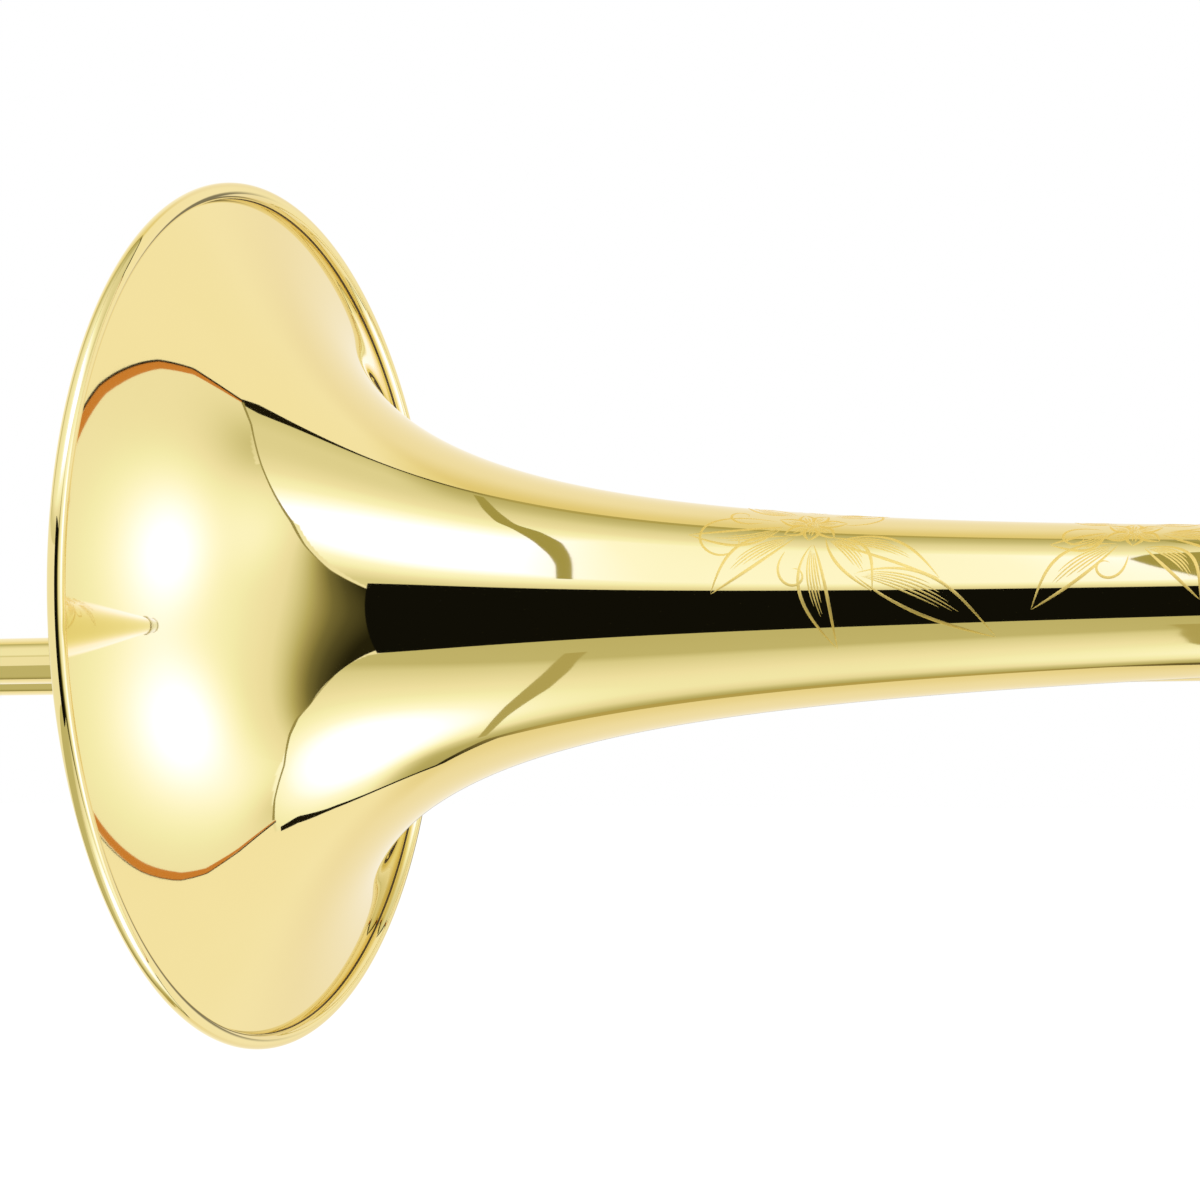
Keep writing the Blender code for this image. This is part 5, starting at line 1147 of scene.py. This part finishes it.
# Water key: a cast nickel silver lever with its hinge barrel, a touch for the finger at one end and a cup at the
# other. The cup holds the cork that closes the nipple.
CORK_RADIUS = 3.4
CORK_TOP = 14.2
CUP_RADII = (3.45, 4.2)
CUP_TOP = 16.1
HINGE_RADIUS = 1.9
HINGE_HALF = 6.3
ARM_THICKNESS = 1.6
cork = [(NIPPLE_TOP + 0.03, 0, 0), (NIPPLE_TOP + 0.03, CORK_RADIUS, 0.4), (CORK_TOP, CORK_RADIUS, 0.2), (CORK_TOP, 0, 0)]
grid = carried_round(rounded(cork) * np.array([[-1], [1]]), (NIPPLE_X, 0, 0), 1, 64)
fit(skin("water_key_cork_cut", grid, close_rows=False), "water_key", "cork", "water_key_cork")
cup = [
    (CORK_TOP + 0.03, 0, 0),
    (CORK_TOP + 0.03, CUP_RADII[0], 0.1),
    (12.6, CUP_RADII[0], 0.1),
    (12.6, CUP_RADII[1], 0.25),
    (13.1, CUP_RADII[1], 0.1),
    (13.3, CUP_RADII[1] - 0.15, 0.08),
    (13.6, CUP_RADII[1] - 0.15, 0.08),
    (13.8, CUP_RADII[1], 0.1),
    (15.2, CUP_RADII[1], 0.9),
    (CUP_TOP, 2.9, 0.9),
    (CUP_TOP + 0.15, 0, 0),
]
cup_grid = carried_round(rounded(cup) * np.array([[-1], [1]]), (NIPPLE_X, 0, 0), 1, 64)
hinge = [
    (-HINGE_HALF, SCREW_RADIUS + 0.03, 0.1),
    (-HINGE_HALF, HINGE_RADIUS, 0.3),
    (HINGE_HALF, HINGE_RADIUS, 0.3),
    (HINGE_HALF, SCREW_RADIUS + 0.03, 0.1),
]
hinge_grid = carried_round(rounded(hinge), (PIVOT_X, -PIVOT_HEIGHT, 0), 2, 48)
x = np.linspace(-1, 1, 121)
x = -692.85 + 27.05 * np.sign(x) * (1 - (1 - np.abs(x)) ** 1.15)
stops = (-720.0, -717.0, -710.0, -703.0, -695.0, -687.0, -680.0, -676.0, -671.0, -668.0, -665.8)
height = np.interp(x, stops, (15.9, 16.1, 16.6, 17.35, 17.45, 17.5, 18.1, 18.9, 19.75, 19.7, 19.3))
half = np.interp(x, stops, (2.0, 2.6, 1.5, 1.5, 1.6, 1.5, 1.7, 2.9, 4.9, 4.9, 4.0))
thick = np.interp(x, stops, (0.5, 0.8, 0.85, 0.9, 0.9, 0.8, 0.75, 0.7, 0.65, 0.6, 0.5))
soften = np.array((1, 4, 6, 4, 1)) / 16
for _ in range(3):
    height, half, thick = (np.convolve(np.pad(row, 2, mode="edge"), soften, "valid") for row in (height, half, thick))
tip = np.sqrt(np.clip(1 - ((x + 692.85) / 27.05) ** 40, 0, 1))
t = np.linspace(0, 2 * math.pi, 40, endpoint=False)
round_side = np.sign(np.cos(t)) * np.abs(np.cos(t)) ** 0.6
round_top = np.sign(np.sin(t)) * np.abs(np.sin(t)) ** 0.6
hollow = 0.35 * np.interp(x, (-676, -671, -667), (0, 1, 0))[:, None] * (1 - round_side**2)
arm_y = -(height[:, None] + (thick * tip)[:, None] * round_top - hollow * (round_top > 0))
arm_grid = np.stack([x[:, None] + 0 * t, arm_y, (half * tip)[:, None] * round_side], axis=-1) * MM
rise = np.linspace(0, 1, 13)[:, None]
web_half = 1.5 + 0.7 * (2 * rise - 1) ** 4
web_y = -(PIVOT_HEIGHT + 1.2 + rise * 2.7)
web_grid = np.stack([PIVOT_X + web_half * round_side, web_y + 0 * t, 1.45 * round_top + 0 * rise], axis=-1)
web_ends = np.broadcast_to(web_grid[[0, -1]].mean(axis=1)[:, None], web_grid[[0, -1]].shape)
web_grid = np.concatenate([web_ends[:1], web_grid, web_ends[1:]]) * MM
lever = skin(
    "water_key_lever_cast",
    (cup_grid, False),
    (hinge_grid, True),
    (arm_grid, False),
    (web_grid, False),
)
fit(lever, "water_key", "nickel_silver", "water_key_lever")

# Mouthpiece: turned from one bar of brass and silver plated. A taper for the receiver, a ringed waist, the bowl
# of the cup and a rounded rim; inside, the cup falls to a narrow throat and the bore widens again to the tip.
metal("silver_plate", (0.93, 0.92, 0.89), (0.89, 0.88, 0.84), 0.04, 0.1)
MOUTHPIECE_END_X = 99.0
RIM_RADIUS = 19.3
CUP_RADIUS = 12.6
THROAT_RADIUS = 3.3
SHANK_END_X = 53.0
shank_radius = SHANK_TIP_RADIUS + SHANK_TAPER * (SHANK_END_X - MOUTHPIECE_TIP_X)
mouthpiece = [
    (MOUTHPIECE_TIP_X, SHANK_TIP_RADIUS - 0.5, 0.1),
    (MOUTHPIECE_TIP_X, SHANK_TIP_RADIUS, 0.1),
    (SHANK_END_X, shank_radius, 0.4),
    (53.6, shank_radius + 1.3, 0.4),
    (55.6, shank_radius + 1.5, 0.5),
    (56.0, shank_radius + 0.7, 0.3),
    (57.0, shank_radius + 0.7, 0.3),
    (57.4, shank_radius + 1.3, 0.4),
    (59.0, shank_radius + 1.4, 2.0),
    (66.0, 9.0, 9.0),
    (73.0, 13.0, 9.0),
    (80.5, 15.9, 9.0),
    (88.6, 16.9, 2.5),
    (89.4, 16.5, 0.4),
    (90.4, 16.5, 0.4),
    (91.0, 17.6, 0.9),
    (92.6, 18.6, 2.0),
    (94.2, RIM_RADIUS, 1.4),
    (97.2, RIM_RADIUS, 1.6),
    (MOUTHPIECE_END_X, 18.3, 1.6),
    (MOUTHPIECE_END_X, 14.4, 3.0),
    (97.0, 12.9, 1.6),
    (91.0, 12.3, 9.0),
    (79.0, 8.6, 9.0),
    (77.5, THROAT_RADIUS + 0.2, 3.0),
    (70.0, THROAT_RADIUS, 6.0),
]
turned("mouthpiece", "mouthpiece", "silver_plate", mouthpiece, SLIDE_SPACING, 144)

# Floor: a plain pale sheet well below the instrument, which is held in the hand. It shows white to the camera
# and keeps the instrument's soft shadow; polished metal doesn't mirror it, because the light tent stands there.
FLOOR_Z = -0.6
FLOOR_HALF = 30.0


def studio_paint(name):
    """An empty material for a part of the studio: its tree and its output."""
    material = bpy.data.materials.new(name)
    material.use_nodes = True
    material.node_tree.nodes.clear()
    return material, material.node_tree, material.node_tree.nodes.new("ShaderNodeOutputMaterial")


corner = FLOOR_HALF * np.linspace(-1, 1, 9)
floor_grid = np.stack(np.meshgrid(corner, corner, FLOOR_Z, indexing="ij"), axis=-1)[:, :, 0]
floor = skin("floor", floor_grid, close_rows=False, close_columns=False)
floor_paint, tree, output = studio_paint("floor_paint")
matt = tree.nodes.new("ShaderNodeBsdfDiffuse")
matt.inputs["Color"].default_value = (0.45, 0.45, 0.45, 1)
glow = tree.nodes.new("ShaderNodeEmission")
ray = tree.nodes.new("ShaderNodeLightPath")
both = tree.nodes.new("ShaderNodeAddShader")
tree.links.new(sum_node(tree, "MULTIPLY", ray.outputs["Is Camera Ray"], 0.72), glow.inputs["Strength"])
tree.links.new(matt.outputs["BSDF"], both.inputs[0])
tree.links.new(glow.outputs["Emission"], both.inputs[1])
tree.links.new(both.outputs["Shader"], output.inputs["Surface"])
floor.data.materials.append(floor_paint)
floor.visible_glossy = False

# Light tent: white cloth all round, lit from outside by lamps that glow through it, with an open front for the
# camera and sewn corners. Only polished metal sees it. A direction is (azimuth, elevation) in degrees, with
# azimuth 0 towards the camera's side, -Y, and 90 towards +X.
TENT_CENTRE = np.array([-0.30, -0.15, 0.0])
TENT_REACH = 16.0
tent_paint, tree, output = studio_paint("tent_cloth")
attribute = tree.nodes.new("ShaderNodeAttribute")
attribute.attribute_name = "glow"
glow = tree.nodes.new("ShaderNodeEmission")
tree.links.new(attribute.outputs["Color"], glow.inputs["Color"])
tree.links.new(glow.outputs["Emission"], output.inputs["Surface"])
tent_paint.cycles.emission_sampling = "NONE"


def heading(azimuth, elevation):
    """Unit vectors (sin a cos e, -cos a cos e, sin e) of directions in degrees."""
    a = np.radians(azimuth)
    e = np.radians(elevation)
    return np.stack([np.sin(a) * np.cos(e), -np.cos(a) * np.cos(e), np.sin(e) + 0 * a], axis=-1)


def angle_from(directions, azimuth, elevation):
    """The angle of each direction from one given, in degrees."""
    return np.degrees(np.arccos(np.clip(directions @ heading(azimuth, elevation), -1, 1)))


def spot(directions, azimuth, elevation, width):
    """Glow of a lamp behind the cloth: exp(-(angle / width)^2)."""
    return np.exp(-((angle_from(directions, azimuth, elevation) / width) ** 2))


def ease(value, low, high):
    """A smooth step from 0 at low to 1 at high: 3 t^2 - 2 t^3."""
    t = np.clip((value - low) / (high - low), 0, 1)
    return t * t * (3 - 2 * t)


def tinted(level):
    """Cloth of each level of brightness: olive where it is shaded, and cooler the more a lamp shines through it."""
    red = np.interp(level, (0, 1, 1.3, 1.6, 2.8), (0, 1, 1.11, 1.17, 1.35))
    green = np.interp(level, (0, 0.4, 0.8, 1, 1.15, 1.3, 1.6, 2.8), (0, 0.37, 0.8, 1, 1.13, 1.19, 1.27, 1.5))
    blue = np.interp(level, (0, 0.3, 0.55, 0.8, 1, 1.15, 2.8), (0, 0.125, 0.3, 0.65, 0.97, 1.13, 3.0))
    return np.stack([red, green, blue], axis=-1)


def hang(name, points, colour):
    """A patch of the studio from a grid of points, each point's colour kept as its glow."""
    rows, columns = points.shape[:2]
    mesh = bpy.data.meshes.new(name)
    mesh.from_pydata(points.reshape(-1, 3), [], grid_faces(rows, columns, False, False))
    shade = np.ones((rows, columns, 4))
    shade[..., :3] = colour
    mesh.attributes.new("glow", "FLOAT_COLOR", "POINT").data.foreach_set("color", shade.ravel())
    mesh.materials.append(tent_paint)
    patch = bpy.data.objects.new(name, mesh)
    bpy.context.scene.collection.objects.link(patch)
    patch.visible_camera = False
    patch.visible_diffuse = False
    patch.visible_transmission = False
    patch.visible_volume_scatter = False
    patch.visible_shadow = False


def corner_azimuth(elevation):
    """Where the sewn corner between the side wall and the rear wall stands: it bulges above and below."""
    heights = (-44, -35, -29, -25, -20, -12, -4, 0, 8, 12, 16, 22, 30, 35, 44)
    azimuths = (117.5, 122.3, 124.4, 124.2, 122.8, 120.0, 115.8, 114.5, 114.7, 115.5, 117.6, 119.6, 120.8, 120.2, 115)
    return np.interp(elevation, heights, azimuths)


def seam_above(lean):
    """How far behind the upright the ceiling's seam runs, for each x / z."""
    return np.where(lean > 0, 0.17 + 0.3 * lean**2, 0.17 + 0.2 * lean)


def seam_below(lean):
    """How far behind the upright the ground sheet's seam runs, for each x / |z|."""
    return np.interp(lean, (-0.5, 0.05, 0.11, 0.5, 0.75, 0.95), (0.34, 0.33, 0.52, 0.49, 0.5, 0.6))


def side_level(d):
    """Brightness of the side wall: two lamps near its middle, the cloth shaded towards the corners."""
    level = 1.0 + 1.9 * spot(d, 95, 12, 10) + 2.2 * spot(d, 98, -15, 11) + 0.5 * spot(d, 101, -30, 11)
    level += 0.35 * spot(d, 74, 24, 12) + 0.25 * spot(d, 86, 2, 16)
    return level - 0.3 * spot(d, 97, 44, 10) - 0.2 * spot(d, 110, -44, 8)


def walls(azimuth, elevation):
    """Colour of the tent's cloth: side wall, rear wall, ceiling, ground sheet, each with its own shading."""
    d = heading(azimuth, elevation)
    x, y, z = np.moveaxis(d, -1, 0)
    height = np.abs(z) + 1e-6
    lean = x / height
    ahead = np.where(z > 0, seam_above(lean), seam_below(lean)) * height - y
    above = np.interp(ahead, (0, 0.03, 0.1, 0.17, 0.27, 0.4, 0.5, 0.57, 0.65), (0.45, 0.56, 0.62, 0.7, 0.86, 1.0, 1.3, 1.9, 2.8))
    above = above + 0.2 * ease(lean, 0.1, 0.3) * (1 - ease(ahead, 0.1, 0.3))
    above = np.minimum(above, np.interp(elevation, (18, 22, 27, 32), (0.8, 1.0, 1.5, 2.8)))
    above = np.minimum(above, np.interp(azimuth, (-60, -10, 3, 12), (1.0, 1.15, 1.6, 2.8)))
    away = angle_from(d, 85, -63)
    below = np.interp(away, (13, 17, 20, 24, 28, 34, 38, 43, 47, 60), (2.8, 2.2, 1.65, 1.3, 1.1, 0.97, 0.9, 0.8, 0.62, 0.6))
    # Painted shade on the ground sheet, darkest next to its seam with the side wall.
    ground_seam_shade = 1 - np.interp(y / height, (-0.05, 0.12, 0.22, 0.31), (1, 0.85, 0.62, 0.5))
    below = below * (1 - ground_seam_shade * (1 - ease(lean, 0.15, 0.4)))
    front_top = np.interp(azimuth, (-180, 35, 62, 104, 115, 180), (14, 14, 34, 44, 44, 44))
    front_low = -np.interp(azimuth, (-180, 37, 64, 83, 110, 122, 180), (22, 22, 31, 41, 43, 43, 43))
    level = np.where(elevation > front_top, above, np.where(elevation < front_low, below, side_level(d)))
    in_side = (elevation < front_top) & (elevation > front_low)
    behind = (ahead < 0) & ~in_side | (in_side & ((azimuth > corner_azimuth(elevation)) | (azimuth < -125)))
    slot = ease(np.abs(azimuth), 150, 165) * (1 - ease(np.abs(elevation - 1), 4, 9))
    # Painted shade on the rear wall next to the seams of the ceiling and the ground sheet.
    rear_seam_shade = (1 - ease(-ahead, 0.0, 0.45)) * (1 - ease(lean, 0.1, 0.3)) * np.where(z > 0, 1.0, 0.5) * (np.abs(elevation) > 40)
    warm = ease(np.abs(azimuth), 150, 170)
    rear = np.array([1.05, 1.03, 0.98]) - warm[..., None] * np.array([0.06, 0.09, 0.14])
    rear = rear - rear_seam_shade[..., None] * np.array([0.12, 0.17, 0.4])
    return np.where(behind[..., None], (1 - 0.75 * slot)[..., None] * rear, tinted(level))


azimuth, elevation = np.meshgrid(np.linspace(-180, 180, 721), np.linspace(-90, 90, 361))
hang("tent_walls", TENT_CENTRE + TENT_REACH * heading(azimuth, elevation), walls(azimuth, elevation))

# Shaded strip of the side wall next to the opening, between the panels above and below.
share, across = np.meshgrid(np.linspace(0, 1, 101), np.linspace(0, 1, 81))
azimuth = 30 + 60 * share
upper = np.interp(azimuth, (30, 35.8, 46.2, 56.6, 64.9, 80, 90), (10, 13.3, 20, 27.7, 34, 39.5, 42))
lower = -np.interp(azimuth, (30, 38.3, 49.2, 63.2, 70.2, 80, 90), (18, 21.7, 27.7, 34.9, 36.3, 40, 42))
elevation = lower + (upper - lower) * across
turned_to = azimuth + 0.3 * elevation + 4 - 9 * (2 * across - 1) ** 2
level = np.interp(turned_to, (33, 36, 39, 43, 48, 52, 56, 60, 64, 70), (0.02, 0.035, 0.06, 0.1, 0.2, 0.38, 0.6, 0.8, 0.95, 1.0))
directions = heading(azimuth, elevation)
level = level * (1 + (side_level(directions) - 1) * ease(turned_to, 60, 80))
hang("tent_front_strip", TENT_CENTRE + 0.985 * TENT_REACH * directions, tinted(level))


def seam(name, route, widths, colour, centre=TENT_CENTRE, reach=TENT_REACH):
    """A strip of cloth along the given directions, so many degrees wide at each, seen from its centre."""
    middle = route / np.linalg.norm(route, axis=1)[:, None]
    side = np.cross(middle, np.gradient(middle, axis=0))
    side /= np.linalg.norm(side, axis=1)[:, None]
    half = np.radians(np.interp(np.linspace(0, 1, len(route)), np.linspace(0, 1, len(widths)), widths)) / 2
    edges = middle[:, None] + half[:, None, None] * side[:, None] * np.array([-1, 1])[:, None]
    hang(name, centre + reach * edges, colour)


def route_through(stops, smooth=9):
    """Directions along a line through the given stops, with its corners rounded off."""
    t = np.linspace(0, len(stops) - 1, 24 * len(stops))
    route = [np.interp(t, np.arange(len(stops)), column) for column in heading(*np.array(stops, float).T).T]
    soften = np.hanning(smooth + 2)[1:-1]
    return np.stack([np.convolve(np.pad(row, smooth // 2, mode="edge"), soften / soften.sum(), "valid") for row in route], axis=-1)


# Seams of the tent: brown tape and black edging at the sewn corner. Along the front the lines are olive, and the
# ceiling's and ground sheet's seams widen into olive bands; this olive is painted shade along the folds of the cloth.
SEAM_BROWN = (0.68, 0.27, 0.07)
SEAM_BLACK = (0.012, 0.01, 0.006)
SEAM_SHADE_OLIVE = (0.36, 0.33, 0.16)
rise = np.linspace(-43.5, 43.5, 200)
tape = heading(corner_azimuth(rise) - 0.5, rise)
seam("seam_corner", tape, (0.3, 0.7, 1.3, 0.8, 0.2, 0.15, 0.4, 1.4, 1.3, 0.4), SEAM_BROWN, reach=0.96 * TENT_REACH)
edging = heading(corner_azimuth(rise) + 0.15, rise)
seam("seam_edging", edging, (0.5, 0.25, 0.12, 0.1, 0.0, 0.0, 0.15, 0.3, 0.35, 0.5), SEAM_BLACK, reach=0.958 * TENT_REACH)
lean = np.linspace(0.96, -0.35, 200)
top = np.stack([lean, seam_above(lean), 0 * lean + 1], axis=-1)
fade = ease(lean, 0.0, 0.15)[:, None, None]
top_colour = np.array(SEAM_BLACK) * fade + np.array((0.5, 0.45, 0.2)) * (1 - fade)
top_widths = (1.5, 3.0, 2.6, 2.0, 1.6, 1.2, 0.9, 0.8, 1.2, 3.0, 4.0, 4.0, 4.0)
seam("seam_top", top, top_widths, top_colour, reach=0.955 * TENT_REACH)
lean = np.linspace(0.87, -0.35, 200)
low = np.stack([lean, seam_below(lean), 0 * lean - 1], axis=-1)
low_colour = np.array(SEAM_BLACK) * fade + np.array((0.52, 0.44, 0.19)) * (1 - fade)
low_widths = (1.6, 2.6, 2.2, 1.4, 1.2, 1.0, 1.0, 1.2, 2.0, 5.0, 8.0, 9.0, 9.0)
seam("seam_low", low, low_widths, low_colour, reach=0.955 * TENT_REACH)
front = ((115, 43.5), (106.4, 44.5), (89.4, 42), (76.6, 38.6), (64.9, 34), (56.6, 27.7), (46.2, 20), (35.8, 13.3))
seam("seam_front_top", route_through(front), (0.6, 0.4, 0.5, 0.9, 0.3, 0.2), SEAM_SHADE_OLIVE, reach=0.95 * TENT_REACH)
front = ((117, -43), (107.7, -43.3), (91.3, -43.1), (77.8, -38.8), (70.2, -36.3), (63.2, -34.9), (49.2, -27.7))
seam("seam_front_low", route_through(front), (0.6, 0.4, 0.5, 0.9, 0.3, 0.2), SEAM_SHADE_OLIVE, reach=0.95 * TENT_REACH)

# Webbing strap down the tent's front; its dark olive is painted shade.
STRAP_SIGHT = np.array([-0.26, -0.13, 0.0])
STRAP_REACH = 12.0
strap = ((155.7, 81.4), (46.6, 82.9), (20.8, 73.8), (14.2, 70.2), (9.6, 61.8), (7.7, 49.5), (7.2, 40.4), (7.1, 26.8))
widths = (0.8, 1.3, 1.6, 2.0, 1.9, 1.3, 1.0, 1.0)
seam("strap_top", route_through(strap, 25), widths, (0.42, 0.39, 0.15), STRAP_SIGHT, STRAP_REACH)
strap = ((162.9, -74.8), (82.1, -84.2), (29.8, -77.9), (15.5, -67.6), (9.8, -53.5), (8.2, -44.4), (7.1, -37))
widths = (0.8, 1.2, 1.7, 2.0, 1.7, 1.4, 1.3)
seam("strap_low", route_through(strap, 25), widths, (0.5, 0.46, 0.23), STRAP_SIGHT, STRAP_REACH)

# Open front of the tent, dark behind the camera.
OPENING_Y = -0.60
OPENING_X = (-0.29, 0.016)
OPENING_Z = (-0.222, 0.155)
opening_grid = np.array([[(x, OPENING_Y, z) for z in OPENING_Z] for x in OPENING_X])
opening = skin("tent_opening", opening_grid, close_rows=False, close_columns=False)
opening_paint, tree, output = studio_paint("dark_room")
matt = tree.nodes.new("ShaderNodeEmission")
matt.inputs["Color"].default_value = (0.006, 0.006, 0.005, 1)
tree.links.new(matt.outputs["Emission"], output.inputs["Surface"])
opening.data.materials.append(opening_paint)
opening.visible_camera = False
opening.visible_diffuse = False
opening.visible_transmission = False
opening.visible_shadow = False

# Light: white all round for whatever is matt, and two soft lamps from above that give the floor its shadow.
world = bpy.data.worlds.new("surround")
bpy.context.scene.world = world
world.use_nodes = True
tree = world.node_tree
ray = tree.nodes.new("ShaderNodeLightPath")
background = tree.nodes["Background"]
background.inputs["Color"].default_value = (1, 1, 1, 1)
seen = sum_node(tree, "MAXIMUM", ray.outputs["Is Camera Ray"], ray.outputs["Is Glossy Ray"])
seen = sum_node(tree, "MAXIMUM", seen, ray.outputs["Is Transmission Ray"])
tree.links.new(sum_node(tree, "MULTIPLY_ADD", seen, 0.3, 0.7), background.inputs["Strength"])
for name, place, turn, size, power in (
    ("key", (-0.9, -1.2, 1.4), (0.75, 0, -0.6), 1.2, 20),
    ("fill", (0.9, -1.2, 0.6), (1.2, 0, 0.65), 1.0, 8),
):
    lamp = bpy.data.lights.new(name, "AREA")
    lamp.size = size
    lamp.energy = power
    lamp_object = bpy.data.objects.new(name, lamp)
    lamp_object.location = place
    lamp_object.rotation_euler = turn
    lamp_object.visible_glossy = False
    bpy.context.scene.collection.objects.link(lamp_object)

# Camera: level, beside the bell and a little behind its mouth, with the lens shifted up.
CAMERA_TURN = math.radians(16.31)
camera_data = bpy.data.cameras.new("camera")
camera_data.lens = 60.0
camera_data.sensor_width = 36.0
camera_data.shift_y = 0.1428
camera_data.clip_start = 0.01
camera = bpy.data.objects.new("camera", camera_data)
camera.location = (-0.1209, -0.5687, -0.0357)
camera.rotation_euler = (math.radians(90), 0, CAMERA_TURN)
bpy.context.scene.collection.objects.link(camera)
bpy.context.scene.camera = camera
bpy.context.scene.view_settings.view_transform = "Standard"
